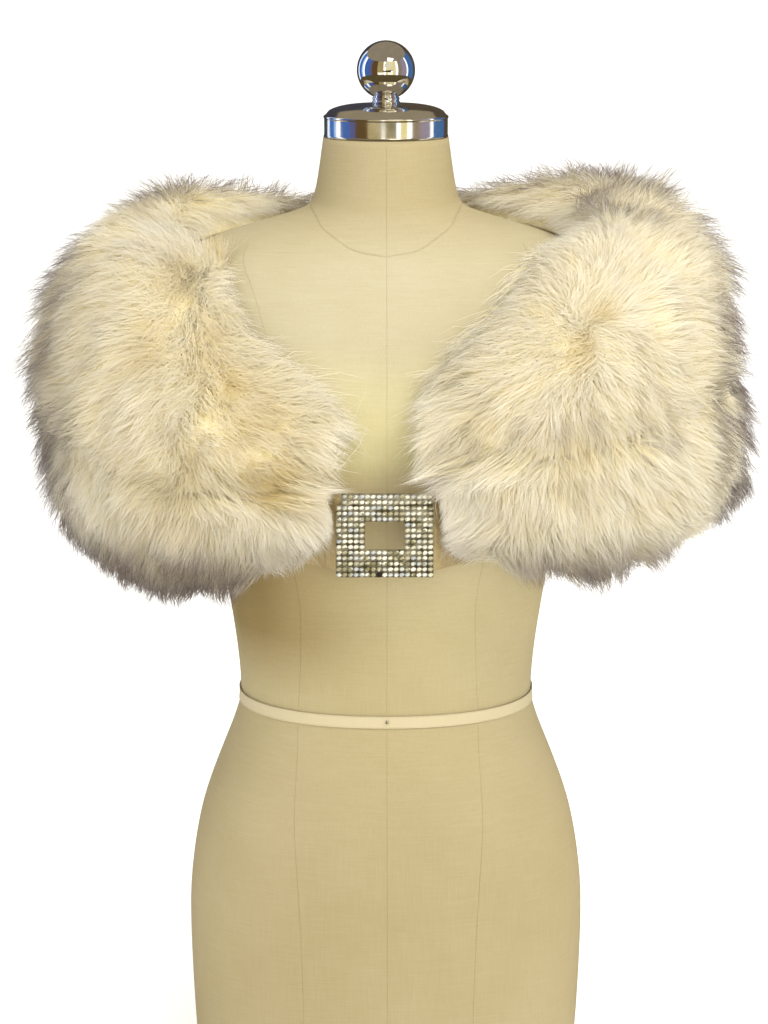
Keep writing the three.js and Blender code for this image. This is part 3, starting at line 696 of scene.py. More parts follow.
# How far in front of the axis the settings lie, in metres
CUP_Y = -0.1489
FILL_Y = -0.1496
STONE_Y = -0.14995
LOST_STONE = (7, 0)
cup = cone_shape(12, 0.00218, 0.0021, 0.0012)
tops = [face for face in cup.faces if face.normal.y < -0.9]
bmesh.ops.inset_region(cup, faces=tops, thickness=0.0003, depth=-0.0002)
rng = np.random.default_rng(11)
cup_moves = []
stone_moves = []
for x, z, column, row in stone_places():
    cup_moves.append(Matrix.Translation((x, CUP_Y, z)))
    if (column, row) == LOST_STONE:
        fill_cone = cone_shape(12, 0.002, 0.0018, 0.001, (x, FILL_Y, z))
        continue
    tilt = Matrix.Rotation(rng.normal(0, 0.05), 4, "X") @ Matrix.Rotation(rng.normal(0, 0.05), 4, "Z")
    turn = Matrix.Rotation(rng.uniform(0, math.tau), 4, "Y")
    oval = Matrix.Rotation(math.radians(-14), 4, "Y") @ Matrix.Diagonal((1.02, 1.0, 0.76, 1.0))
    stone_moves.append(Matrix.Translation((x, STONE_Y, z)) @ tilt @ oval @ turn)
finish_piece("buckle_cups", joined_copies(cup, cup_moves), setting_metal,
             ["buckle_frame"], crisp=30)
stones = finish_piece("buckle_stones", joined_copies(cone_shape(8, 0.00208, 0.00098, 0.0011), stone_moves),
                      glass, ["buckle_frame"])
for polygon in stones.data.polygons:
    polygon.use_smooth = False
# A near-black cone sits in the setting of the lost stone
finish_piece("buckle_empty_setting", fill_cone, lost_stone_fill, ["buckle_frame"], crisp=30)


# The satin end tabs: cloth gathered towards the buckle, deepest folds beside it
TAB_START = 16.5
TAB_SPAN = 47.5
TAB_HEIGHT = 58
SATIN_THICK = 0.0005


def tab_shape(side):
    """The folded cloth of one tab."""
    shape = bmesh.new()
    bmesh.ops.create_grid(shape, x_segments=44, y_segments=36, size=0.5)
    for vert in shape.verts:
        across = TAB_START + (vert.co.x + 0.5) * TAB_SPAN
        share = vert.co.y
        level = TAB_HEIGHT * smooth_value(TAB, 2, across) * share
        slope = smooth_value(TAB, 1, across + 0.5) - smooth_value(TAB, 1, across - 0.5)
        length = math.hypot(1, slope)
        gather = math.exp(-(((across - 40) / 9) ** 2))
        fold = 0.65 * math.sin(share * 21 + side) + 0.35 * math.sin(share * 47 + across * 0.12)
        upright = 0.55 * math.exp(-(((across - 46 - 2 * share) / 2.2) ** 2))
        lift = 0.85 + 0.55 * gather * fold + upright
        x = side * across + BUCKLE_X * max(0, 1 - (across - TAB_START) / 30)
        depth = smooth_value(TAB, 1, across)
        vert.co = Vector((x - side * lift * slope / length, -depth - lift / length, BUCKLE_Z + level)) / 1000
    if side < 0:
        bmesh.ops.reverse_faces(shape, faces=shape.faces)
    return shape


for side, word in ((1, "right"), (-1, "left")):
    tab = finish_piece(f"satin_tab_{word}", tab_shape(side), satin, [f"end_tab_{word}"])
    wall = tab.modifiers.new("Wall", "SOLIDIFY")
    wall.thickness = SATIN_THICK
    wall.offset = 0.0


# The coat of each side, as grids of hide and hair-tip points in millimetres
AZIMUTHS = np.linspace(FRONT_AZIMUTH, BACK_AZIMUTH - 0.16, 119)
ALONGS = np.linspace(0.0, 1.0, 73)
# Millimetres: how far the left front's hair falls onto the chest, and how far locks lie apart
LEFT_FALL = 62
LOCK_SIZE = 13.0
# Room kept round the buckle's centre: across, up and down, below the tuft, and where tips end by side
BUCKLE_CLEAR = 41
BUCKLE_CLEAR_LEVEL = 36
TUFT_LEVEL = 27
TIP_EDGE = {1: 41.5, -1: 38.3}
SEAM_ALONG = np.array([smooth_value(WRAP, 10, azimuth) for azimuth in AZIMUTHS])


def hide_curve(side, azimuth):
    """Points and tangents of the hide's section at even steps of its length."""
    neck, crest_out, crest_up, bend_out, bend_up, wide_out, wide_up, hem_out, hem = (
        smooth_value(WRAP, column, azimuth) for column in range(1, 10))
    if side < 0:
        neck_drop, wide_in, hem_in, hem_drop = (smooth_value(LEFT, column, azimuth) for column in range(1, 5))
        neck -= neck_drop
        wide_out -= wide_in
        hem_out -= hem_in
        hem -= hem_drop
    outs = (form_radius(azimuth, neck) + NECK_LIFT, crest_out, bend_out, wide_out, hem_out)
    levels = (neck, *(hem + (neck - hem) * up for up in (crest_up, bend_up, wide_up)), hem)
    stops = np.column_stack([outs, levels])
    ends = np.vstack([2 * stops[0] - stops[1], stops, 2 * stops[-1] - stops[-2]])
    fine = []
    for i in range(4):
        p0, p1, p2, p3 = ends[i:i + 4]
        d0 = np.linalg.norm(p1 - p0) ** 0.5
        d1 = np.linalg.norm(p2 - p1) ** 0.5
        d2 = np.linalg.norm(p3 - p2) ** 0.5
        t1 = ((p1 - p0) / d0 - (p2 - p0) / (d0 + d1) + (p2 - p1) / d1) * d1
        t2 = ((p2 - p1) / d1 - (p3 - p1) / (d1 + d2) + (p3 - p2) / d2) * d1
        u = np.linspace(0, 1, 50, endpoint=i == 3)[:, None]
        square = (3 * p2 - 3 * p1 - 2 * t1 - t2) * u ** 2
        cube = (2 * p1 - 2 * p2 + t1 + t2) * u ** 3
        fine.append(p1 + t1 * u + square + cube)
    fine = np.vstack(fine)
    steps = np.linalg.norm(np.diff(fine, axis=0), axis=1)
    travelled = np.concatenate([[0], np.cumsum(steps)])
    even = travelled[-1] * ALONGS
    spots = np.stack([np.interp(even, travelled, fine[:, k]) for k in (0, 1)], axis=1)
    ways = np.gradient(spots, axis=0)
    return spots, ways / np.linalg.norm(ways, axis=1)[:, None]


def coat_grids(side):
    """Hide points and hair-tip points of one side, each azimuth by place from neckline to hem."""
    left = side < 0
    hide = np.zeros((len(AZIMUTHS), len(ALONGS), 3))
    tips = np.zeros_like(hide)
    pile_rows = np.array([[smooth_value(PILE, c, t) for c in (1, 2)] for t in ALONGS])
    over = np.array([smooth_value(END_LEAN, 2 if left else 1, t) for t in ALONGS])
    for i, azimuth in enumerate(AZIMUTHS):
        spots, ways = hide_curve(side, azimuth)
        seam = smooth_value(WRAP, 10, azimuth)
        pile = smooth_value(WRAP, 11, azimuth)
        dip = 1 - 0.24 * np.exp(-(((ALONGS - seam) / 0.055) ** 2))
        thin = left * smooth_value(LEFT, 5, azimuth) * np.exp(-(((ALONGS - 0.33) / 0.16) ** 2))
        turn = math.radians(azimuth) * side
        lump = (2.2 * np.sin(33 * turn + 5 * ALONGS) + 1.8 * np.sin(19 * turn - 23 * ALONGS + side)
                + 1.4 * np.sin(47 * turn + 13 * ALONGS))
        edge = np.minimum(1, np.minimum(4 * ALONGS, 4 * (1 - ALONGS) + 0.3))
        out = (pile_rows[:, 0] * dip - thin + edge * lump) * pile
        hem_lock = 5 * math.sin(math.radians(azimuth) * 29 + side) * np.maximum(0, ALONGS - 0.75) * 4
        lean = pile_rows[:, 1] * pile + hem_lock
        # The left front's hair falls over the neckline onto the chest
        if left:
            falling = blend_step(0.38, 0.0, ALONGS) * blend_step(86, 62, azimuth)
            lean = lean - LEFT_FALL * falling * blend_step(22, 38, azimuth)
        angle = math.radians(side * azimuth)
        outward = np.array([math.sin(angle), -math.cos(angle)])
        share = min(1, max(0, (azimuth - FRONT_AZIMUTH) / (52 - FRONT_AZIMUTH)))
        end_share = share * share * (3 - 2 * share)
        for k in range(len(ALONGS)):
            normal = np.array([-ways[k, 1], ways[k, 0]])
            inner = spots[k] - HIDE_THICK / 2 * normal
            outer = spots[k] + out[k] * normal + lean[k] * ways[k]
            hide[i, k] = [*(outward * inner[0]), WAIST_HEIGHT + inner[1]]
            point = np.array([*(outward * outer[0]), WAIST_HEIGHT + outer[1]])
            point[0] -= side * over[k] * (1 - end_share)
            tips[i, k] = rest_on_form(point, NECK_LIFT + PILE_LIFT)
    return hide, tips


def rest_on_form(point, lift):
    """A tip that leans over the neckline lies on the form instead of going into it."""
    level = point[2] - WAIST_HEIGHT
    azimuth = math.degrees(math.atan2(point[0], -point[1]))
    least = form_radius(azimuth, level) + lift
    if level > NECK_TOP or math.hypot(point[0], point[1]) >= least:
        return point
    return np.array(place(azimuth, least, level))


FORM_AZIMUTHS = np.arange(0, 363, 3.0)
FORM_LEVELS = np.arange(60, 468, 6.0)
FORM_RADII = np.array([[form_radius(a, l) for l in FORM_LEVELS] for a in FORM_AZIMUTHS])


def kept_off_form(points, lift):
    """Moves points that would lie in the dress form out to its skin."""
    azimuth = np.degrees(np.arctan2(points[:, 0], -points[:, 1])) % 360
    x = azimuth / 3
    y = np.clip((points[:, 2] - WAIST_HEIGHT - 60) / 6, 0, len(FORM_LEVELS) - 1.001)
    i = x.astype(int)
    k = y.astype(int)
    low = FORM_RADII[i, k] * (1 - x + i) + FORM_RADII[i + 1, k] * (x - i)
    high = FORM_RADII[i, k + 1] * (1 - x + i) + FORM_RADII[i + 1, k + 1] * (x - i)
    least = low * (1 - y + k) + high * (y - k) + lift
    radius = np.hypot(points[:, 0], points[:, 1])
    inside = (points[:, 2] < WAIST_HEIGHT + NECK_TOP) & (radius < least)
    grown = np.where(inside, least / np.maximum(radius, 1.0), 1.0)
    return points * np.stack([grown, grown, np.ones_like(grown)], axis=1)


def read_grid(grid, azimuth, along):
    """Values of a grid at many spots at once, between its points."""
    x = np.clip((azimuth - AZIMUTHS[0]) / (AZIMUTHS[1] - AZIMUTHS[0]), 0, len(AZIMUTHS) - 1.001)
    y = np.clip(along * (len(ALONGS) - 1), 0, len(ALONGS) - 1.001)
    i = x.astype(int)
    k = y.astype(int)
    u = (x - i)[:, None]
    v = (y - k)[:, None]
    low = grid[i, k] * (1 - u) + grid[i + 1, k] * u
    high = grid[i, k + 1] * (1 - u) + grid[i + 1, k + 1] * u
    return low * (1 - v) + high * v


def unit(vectors):
    """Each vector at length one."""
    return vectors / np.maximum(np.linalg.norm(vectors, axis=-1, keepdims=True), 1e-9)


def dot(first, second):
    """Products of paired vectors, kept as a last axis of one."""
    return np.sum(first * second, axis=-1, keepdims=True)


def comb_grid(side, tips):
    """The way the hair lies at every point of the coat, from the combing tables."""
    away = np.gradient(tips, axis=0)
    down = np.gradient(tips, axis=1)
    normal = unit(np.cross(away, down) * side)
    normal *= np.sign(dot(normal, tips - [0, 0, WAIST_HEIGHT + 250]))
    flat = tips.reshape(-1, 3)
    front = flat[:, 1] < -5
    spots = []
    ways = []
    for x, level, dx, dz in COMB_FRONT[side]:
        gap = np.hypot(flat[:, 0] - x, flat[:, 2] - WAIST_HEIGHT - level) + 1000 * ~front
        spots.append(flat[np.argmin(gap)])
        ways.append(unit(np.array([dx, 0.0, dz])))
    for azimuth, along, side_share, down_share in COMB_BACK:
        i = int(np.argmin(abs(AZIMUTHS - azimuth)))
        k = int(round(along * (len(ALONGS) - 1)))
        spots.append(tips[i, k])
        ways.append(unit(side_share * unit(away[i, k]) + down_share * unit(down[i, k])))
    spots = np.array(spots)
    ways = np.array(ways)
    gaps = np.linalg.norm(flat[:, None, :] - spots[None], axis=2)
    weights = 1 / (gaps ** 2 + 180) ** 1.6
    flow = (weights[:, :, None] * ways[None]).sum(axis=1) / weights.sum(axis=1)[:, None]
    flow = flow.reshape(tips.shape)
    flow -= dot(flow, normal) * normal
    # Where the coat parts the hair stands up instead of lying down
    lean = np.clip(0.25 + 0.95 * np.linalg.norm(flow, axis=2, keepdims=True), 0, 1)
    return unit(flow), normal, away, down, lean


def spot_strength(points, patches):
    """How strongly a set of round patches colours each point of the front."""
    total = np.zeros(len(points))
    for x, level, radius, strength in patches:
        gap = ((points[:, 0] - x) ** 2 + (points[:, 2] - WAIST_HEIGHT - level) ** 2) / radius ** 2
        total = np.maximum(total, strength * np.exp(-gap))
    return total * np.clip((20 - points[:, 1]) / 60, 0, 1)


def blend_step(low, high, value):
    """Rises smoothly from 0 at low to 1 at high; low may be the larger."""
    share = np.clip((value - low) / (high - low), 0, 1)
    return share * share * (3 - 2 * share)


def sample_spots(rng, count, tips, lean, side, is_upper):
    """Random spots on one pelt, evenly by area and a little denser in front."""
    cell_a = tips[1:, :-1] - tips[:-1, :-1]
    cell_b = tips[:-1, 1:] - tips[:-1, :-1]
    area = np.linalg.norm(np.cross(cell_a, cell_b), axis=2)
    middle = (ALONGS[:-1] + ALONGS[1:]) / 2
    # The upper pelt's hair falls over the seam in an uneven line
    wavy = 0.045 + 0.03 * np.sin(AZIMUTHS * 0.41 + side) + 0.02 * np.sin(AZIMUTHS * 1.13)
    reach = SEAM_ALONG + (wavy if is_upper else -0.01)
    belongs = middle[None, :] < reach[:-1, None]
    if not is_upper:
        belongs = ~belongs
    front = 1 + 0.9 * blend_step(40, -60, tips[:-1, :-1, 1])
    rim = 1 + 2.2 * ((middle < 0.05) | (middle > 0.95))[None, :] + 1.5 * (AZIMUTHS[:-1, None] < 28)
    if side < 0:
        rim = rim + 1.6 * (middle < 0.16)[None, :] * (AZIMUTHS[:-1, None] < 76)
    parting = 1 + 2.5 * np.clip(0.8 - lean[:-1, :-1, 0], 0, 1)
    weight = (area * belongs * front * rim * parting).ravel()
    cells = rng.choice(len(weight), size=count, p=weight / weight.sum())
    i, k = np.unravel_index(cells, area.shape)
    azimuth = AZIMUTHS[i] + rng.random(count) * (AZIMUTHS[1] - AZIMUTHS[0])
    along = (k + rng.random(count)) / (len(ALONGS) - 1)
    return azimuth, along, area[belongs].sum()


def moved_spots(azimuth, along, away, down, shift, is_upper):
    """Spots reached by going back along a shift in space, kept on their own pelt."""
    a = read_grid(away, azimuth, along)
    d = read_grid(down, azimuth, along)
    aa, dd, ad, sa, sd = (dot(*pair)[:, 0] for pair in ((a, a), (d, d), (a, d), (shift, a), (shift, d)))
    det = np.maximum(aa * dd - ad * ad, 1e-6)
    steps_a = (sa * dd - sd * ad) / det
    steps_d = (sd * aa - sa * ad) / det
    back_azimuth = azimuth - steps_a * (AZIMUTHS[1] - AZIMUTHS[0])
    back_along = along - steps_d / (len(ALONGS) - 1)
    back_azimuth = np.clip(back_azimuth, AZIMUTHS[0], AZIMUTHS[-1])
    seam = np.interp(back_azimuth, AZIMUTHS, SEAM_ALONG)
    low = 0.004 if is_upper else seam - 0.03
    high = seam + 0.02 if is_upper else 0.996
    return back_azimuth, np.clip(back_along, low, high)


def coat_tones(points, up, rng, clump_tone):
    """Painted grey shade, painted warm shade and pale share of each hair by its place on the coat."""
    x = points[:, 0]
    level = points[:, 2] - WAIST_HEIGHT
    # Grey is painted shade where the coat turns away from the front, at its top and sides, along the hem and
    # at the back; each lock's tone adds a random part
    turned = np.maximum(blend_step(-0.55, -0.15, up[:, 1]), x < -200)
    top = blend_step(390, 428, level) * turned
    side_edge = blend_step(236, 288, abs(x)) * turned * np.where(x < 0, 1.25, 1.0)
    hem = blend_step(168, 132, level) * 0.6
    back = blend_step(-20, 90, points[:, 1]) * 0.25
    grey_shade_and_tone = np.maximum.reduce([top * 0.48, side_edge * 0.42, hem * 0.76, back * 0.76])
    grey_shade_and_tone = np.clip(grey_shade_and_tone + spot_strength(points, DIP_SHADE_PATCHES) + 0.16 * (clump_tone - 0.5), 0, 1)
    # Warm is painted shade in creases and partings, with a random part from each lock's tone
    warm_shade_and_tone = np.clip(spot_strength(points, WARM_SHADE_PATCHES) + 0.12 * (clump_tone - 0.4), 0, 1)
    pale = spot_strength(points, PALE_PATCHES) * (0.4 + 0.6 * rng.random(len(points)))
    return np.stack([grey_shade_and_tone, warm_shade_and_tone, pale], axis=1)


def strand_arrays(shares, widths, root, bend, tip, normal, roll, width, tint, tones, curl, rng):
    """Curved tapering strands of a few lengths each, as arrays for one mesh."""
    count = len(root)
    steps = len(widths)
    wave = unit(np.cross(tip - root, normal)) * rng.normal(0, 1, (count, 1)) * curl[:, None]
    points = []
    for at, share in enumerate([*shares, 1.0]):
        spot = root * (1 - share) ** 2 + bend * 2 * share * (1 - share) + tip * share * share
        points.append(spot + wave * math.sin(math.tau * share))
    forward = unit(tip - root)
    across = unit(np.cross(forward, normal))
    side_way = across * np.cos(roll)[:, None] + np.cross(forward, across) * np.sin(roll)[:, None]
    size = 2 * steps + 1
    verts = np.zeros((count, size, 3), np.float32)
    for at in range(steps):
        half = side_way * (width * widths[at] / 2)[:, None]
        verts[:, 2 * at] = points[at] - half
        verts[:, 2 * at + 1] = points[at] + half
    verts[:, -1] = points[-1]
    pattern = []
    sizes = []
    for at in range(steps - 1):
        pattern += [2 * at, 2 * at + 1, 2 * at + 3, 2 * at + 2]
        sizes.append(4)
    pattern += [size - 3, size - 2, size - 1]
    sizes.append(3)
    height = np.array([share for share in shares for _ in (0, 1)] + [1.0])
    # The strands take most of their shading from the coat as a whole, as fine hair does
    own = unit(np.cross(forward, side_way))
    own *= np.where(dot(own, normal) < 0, -1.0, 1.0)
    soft = unit(0.22 * own + 0.9 * normal)
    loops = np.arange(count)[:, None] * size + np.array(pattern)[None]
    uv = np.zeros((count, len(pattern), 2), np.float32)
    uv[:, :, 0] = tint[:, None]
    uv[:, :, 1] = height[pattern][None]
    colours = np.ones((count, size, 4), np.float32)
    colours[:, :, :3] = tones[:, None]
    return {
        "verts": verts.reshape(-1, 3) / 1000, "loops": loops.ravel(), "sizes": np.tile(sizes, count),
        "uv": uv.reshape(-1, 2), "colours": colours.reshape(-1, 4), "normals": np.repeat(soft, size, axis=0),
    }


def strand_mesh(name, groups):
    """One mesh from several groups of strands."""
    shift = 0
    for group in groups:
        group["loops"] = group["loops"] + shift
        shift += len(group["verts"])
    whole = {key: np.concatenate([group[key] for group in groups]) for key in groups[0]}
    starts = np.concatenate([[0], np.cumsum(whole["sizes"])[:-1]])
    mesh = bpy.data.meshes.new(name)
    mesh.vertices.add(len(whole["verts"]))
    mesh.loops.add(len(whole["loops"]))
    mesh.polygons.add(len(starts))
    mesh.vertices.foreach_set("co", whole["verts"].ravel())
    mesh.loops.foreach_set("vertex_index", whole["loops"].astype(np.int32))
    mesh.polygons.foreach_set("loop_start", starts.astype(np.int32))
    mesh.update(calc_edges=True)
    mesh.polygons.foreach_set("use_smooth", np.ones(len(starts), bool))
    layer = mesh.uv_layers.new(name="Strand")
    layer.data.foreach_set("uv", whole["uv"].ravel())
    coat = mesh.color_attributes.new("Coat", "FLOAT_COLOR", "POINT")
    coat.data.foreach_set("color", whole["colours"].ravel())
    mesh.normals_split_custom_set_from_vertices(whole["normals"])
    return mesh


def comb_hair(name, side, is_upper, count, grids, material, seed):
    """All the hair of one pelt, gathered into locks."""
    hide, tips, flow, normal, away, down, lean = grids
    rng = np.random.default_rng(seed)
    azimuth, along, area = sample_spots(rng, count, tips, lean, side, is_upper)
    lock_count = int(area / LOCK_SIZE ** 2)
    lock_azimuth, lock_along, _ = sample_spots(rng, lock_count, tips, lean, side, is_upper)
    lock_spot = read_grid(tips, lock_azimuth, lock_along)
    tree = KDTree(lock_count)
    for i, spot in enumerate(lock_spot):
        tree.insert(spot, i)
    tree.balance()
    outer = read_grid(tips, azimuth, along)
    lock = np.array([tree.find(spot)[1] for spot in outer])
    swing = rng.normal(0, 0.24, lock_count)
    lock_long = rng.uniform(0.8, 1.2, lock_count)
    lock_lift = rng.normal(0, 0.06, lock_count)
    lock_pull = rng.uniform(0.1, 0.5, lock_count)
    lock_tone = rng.random(lock_count)
    up = unit(read_grid(normal, azimuth, along))
    way = unit(read_grid(flow, azimuth, along))
    lock_way = unit(read_grid(flow, lock_azimuth, lock_along))
    lock_up = unit(read_grid(normal, lock_azimuth, lock_along))
    lock_way = unit(lock_way * np.cos(swing)[:, None] + np.cross(lock_up, lock_way) * np.sin(swing)[:, None])
    lying = read_grid(lean, azimuth, along)
    guard = rng.random(count)
    # Along the outline more of the hair stands out, long, thin and frizzy
    rim = np.maximum(blend_step(388, 415, outer[:, 2] - WAIST_HEIGHT), blend_step(225, 270, abs(outer[:, 0])))
    rim *= blend_step(150, 100, abs(outer[:, 1])) * blend_step(-0.55, -0.2, up[:, 1])
    hem_rim = blend_step(160, 138, outer[:, 2] - WAIST_HEIGHT) * blend_step(80, 130, abs(outer[:, 0]))
    rim = np.maximum(rim, (0.55 if side > 0 else 0.75) * hem_rim)
    halo = guard > 0.86 - 0.28 * rim
    frizz = 0.2 + 0.35 * (1 - lying[:, 0]) + 0.45 * halo
    way = unit(way + 1.2 * lock_way[lock] + rng.normal(0, 1, (count, 3)) * frizz[:, None])
    way = unit(way - dot(way, up) * up)
    long = rng.uniform(19, 40, count) * lock_long[lock] * lying[:, 0]
    root_azimuth, root_along = moved_spots(azimuth, along, away, down, way * long[:, None], is_upper)
    low = read_grid(hide, root_azimuth, root_along)
    high = read_grid(tips, root_azimuth, root_along)
    root = low + (high - low) * rng.uniform(0.25, 0.42, (count, 1))
    skin = read_grid(hide, azimuth, along)
    reach = np.where(guard < 0.3, rng.uniform(0.7, 0.88, count), rng.uniform(0.88, 1.04, count))
    reach = np.where(halo, rng.uniform(1.04, 1.24, count) + 0.16 * rim * rng.random(count), reach)
    reach = reach + lock_lift[lock] * (1 + 1.6 * rim)
    stretch = rng.uniform(0, 7, count) + halo * rng.uniform(0, 6, count)
    # At the neckline and the front end the hair spills over the edge
    spill = np.maximum(blend_step(0.22, 0.0, along), 0.5 * blend_step(34, 23, azimuth))
    stretch = stretch + (30 if side < 0 else 26) * spill * rng.random(count)
    # Thin hair of the left front falls far onto the chest
    onto_chest = (side < 0) * blend_step(0.4, 0.05, along) * blend_step(78, 55, azimuth)
    stretch = stretch * (0.4 + 0.6 * lying[:, 0]) + 14 * onto_chest * rng.random(count) ** 1.3
    tip = skin + (outer - skin) * reach[:, None] + way * stretch[:, None]
    lock_tip = lock_spot + lock_way * 5
    gathered = np.where(halo, 0.35 + 0.55 * rim, 1.0)[:, None]
    pull = lock_pull[lock][:, None] * rng.uniform(0.3, 1.0, (count, 1)) * gathered
    tip = tip + (lock_tip[lock] - tip) * pull * 0.8
    # No tip stands more than 11 mm out of the coat, up to 18 mm along the outline. No
    # tip stands more than the size rule allows out of the coat
    proud = tip - outer
    far = np.linalg.norm(proud, axis=1, keepdims=True)
    rise = dot(proud, up)
    sideways = proud - rise * up
    height = np.clip(rise, -40, (11 + 7 * rim)[:, None])
    tip = outer + np.where(far > 0, sideways + height * up, proud)
    # The lower front corner falls over the satin tab
    over_tab = blend_step(44, 23, azimuth) * blend_step(0.5, 0.64, along) * blend_step(1.05, 0.9, along)
    tip[:, 0] -= side * 20 * over_tab * rng.random(count)
    # At the back the two halves' hair mingles over the centre seam
    tip[:, 0] -= side * 16 * blend_step(166, 180, azimuth) * rng.random(count)
    # The buckle stays clear, but for a tuft over its upper corner
    from_buckle = abs(tip[:, 0] - BUCKLE_X)
    low_part = tip[:, 2] < BUCKLE_Z + (TUFT_LEVEL if side > 0 else BUCKLE_CLEAR_LEVEL)
    low_part &= tip[:, 2] > BUCKLE_Z - BUCKLE_CLEAR_LEVEL
    before = (from_buckle < BUCKLE_CLEAR) & low_part & (tip[:, 1] < 0)
    beside = BUCKLE_X + side * (TIP_EDGE[side] + rng.uniform(0, 4.5, count))
    tip[:, 0] = np.where(before, beside, tip[:, 0])
    tip = kept_off_form(tip, rng.uniform(2.5, 8, count))
    bend = root + (high - low) * 0.45 + (tip - root) * 0.38
    bend += rng.normal(0, 1.6, (count, 3))
    flat_lying = rng.random(count) < 0.6
    roll = np.where(flat_lying, rng.normal(0, 0.55, count), rng.uniform(-1.57, 1.57, count))
    width = np.where(halo, rng.uniform(0.32, 0.5, count) + 0.14 * rim, rng.uniform(0.38, 0.72, count))
    tint = np.clip(0.5 * rng.random(count) + 0.5 * lock_tone[lock], 0, 1)
    tones = coat_tones(tip, up, rng, lock_tone[lock])
    # Halo hairs along the outline get more grey: painted shade on the tips of the rim
    tones[:, 0] = np.clip(tones[:, 0] + 1.6 * rim * halo, 0, 2)
    curl = 0.9 + 1.3 * halo
    # Half the strands bend in three lengths, the other half in two
    groups = []
    for chosen, shares, widths in (
            (np.arange(count) % 2 == 0, [0.0, 0.36, 0.7], [0.75, 1.0, 0.7]),
            (np.arange(count) % 2 == 1, [0.0, 0.5], [0.8, 1.0])):
        parts = [part[chosen] for part in (root, bend, tip, up, roll, width, tint, tones, curl)]
        groups.append(strand_arrays(shares, widths, *parts, rng))
    return new_object(name, strand_mesh(name, groups), material)


def coat_layer(side, is_upper, columns, rows, point_at):
    """A grid of cloth on the coat; point_at gives a place from azimuths and alongs."""
    shape = bmesh.new()
    bmesh.ops.create_grid(shape, x_segments=columns, y_segments=rows, size=0.5)
    shape.verts.ensure_lookup_table()
    azimuth = np.array([FRONT_AZIMUTH + (v.co.x + 0.5) * (AZIMUTHS[-1] - FRONT_AZIMUTH) for v in shape.verts])
    seam = np.array([smooth_value(WRAP, 10, a) for a in azimuth])
    share = np.array([0.5 - v.co.y for v in shape.verts])
    along = share * seam if is_upper else seam + share * (1 - seam)
    along = along + (-0.0008 if is_upper else 0.0008) * (share > 0.99 if is_upper else share < 0.01)
    for vert, spot in zip(shape.verts, point_at(azimuth, along) / 1000):
        vert.co = spot
    if side < 0:
        bmesh.ops.reverse_faces(shape, faces=shape.faces)
    return shape


strand_share = 1.0
HAIRS = {"upper": 48500, "lower": 44000}
SKIN_THICK = 0.0018
WOOL_THICK = 0.006
for side, word in ((1, "right"), (-1, "left")):
    hide_grid, tip_grid = coat_grids(side)
    grids = (hide_grid, tip_grid, *comb_grid(side, tip_grid))
    for part, is_upper, rows in (("upper", True, 16), ("lower", False, 9)):
        node = f"pelt_{part}_{word}"

        def on_hide(azimuth, along):
            return read_grid(hide_grid, azimuth, along)

        def in_pile(azimuth, along):
            skin = read_grid(hide_grid, azimuth, along)
            rim = np.minimum.reduce([along / 0.12, (1 - along) / 0.12, (azimuth - FRONT_AZIMUTH) / 12 + 0.1])
            depth = 0.18 + 0.48 * blend_step(0, 1, rim)
            return skin + (read_grid(tip_grid, azimuth, along) - skin) * depth[:, None]

        skin_shape = coat_layer(side, is_upper, 60, rows, on_hide)
        hide = finish_piece(f"hide_{part}_{word}", skin_shape, suede, [node])
        thickness = hide.modifiers.new("Skin", "SOLIDIFY")
        thickness.thickness = SKIN_THICK
        thickness.offset = 1.0
        body = coat_layer(side, is_upper, 76, rows, in_pile)
        underfur = finish_piece(f"underfur_{part}_{word}", body, wool, [node])
        filling = underfur.modifiers.new("Wool", "SOLIDIFY")
        filling.thickness = WOOL_THICK
        filling.offset = -1.0
        count = int(HAIRS[part] * strand_share)
        seed = 100 + 10 * is_upper + (side > 0)
        hair = comb_hair(f"hair_{part}_{word}", side, is_upper, count, grids, fur, seed)
        declare_piece(hair, [node])


# Floor, lights and camera
def stage_sheet(name, material, corners=None):
    """A sheet of the set: the curved paper, or a flat card between its corners."""
    shape = bmesh.new()
    if corners is None:
        bmesh.ops.create_grid(shape, x_segments=1, y_segments=40, size=0.5)
        for vert in shape.verts:
            share = vert.co.y + 0.5
            run = share * 12.0 - 6.0
            rise = max(0.0, run - 3.2)
            vert.co = Vector((vert.co.x * 16, min(run, 3.2 + 1.4 * math.tanh(rise)), 0.9 * rise ** 1.5 / 1.4))
    else:
        shape.faces.new([shape.verts.new(corner) for corner in corners])
    bmesh.ops.recalc_face_normals(shape, faces=shape.faces)
    sheet = smooth_object(name, shape, material)
    return sheet


# Seamless white paper
paper = plain_material("seamless_paper_white", "BsdfPrincipled", {
    "Base Color": linear("FBFAF8"), "Roughness": 0.9})
stage_sheet("floor_sweep", paper)

# The room round the set, seen only in the metal: from azimuth, to azimuth, colour, strength
ROOM_STRIPES = [
    (-180, -139, "4A4A54", 0.8), (-139, -129, "DCEBFF", 1.5), (-129, -112, "3F6FC0", 1.1),
    (-112, -104, "A9C8F5", 1.2), (-104, -94, "FFFFFF", 1.9), (-94, -70, "4A70BC", 1.0),
    (-70, -58, "6E6FA6", 0.8), (-58, -34, "6E5634", 0.85), (-34, -9, "A89868", 1.15),
    (-9, -1, "FFFBEE", 2.6), (-1, 40, "CCC090", 1.6), (40, 49, "FFFCF0", 2.0),
    (49, 66, "9A8A78", 1.0), (66, 90, "A096A8", 1.0), (90, 98, "F4F8FF", 1.8),
    (98, 136, "4F7AB4", 0.9), (136, 180, "5E5446", 0.8),
]
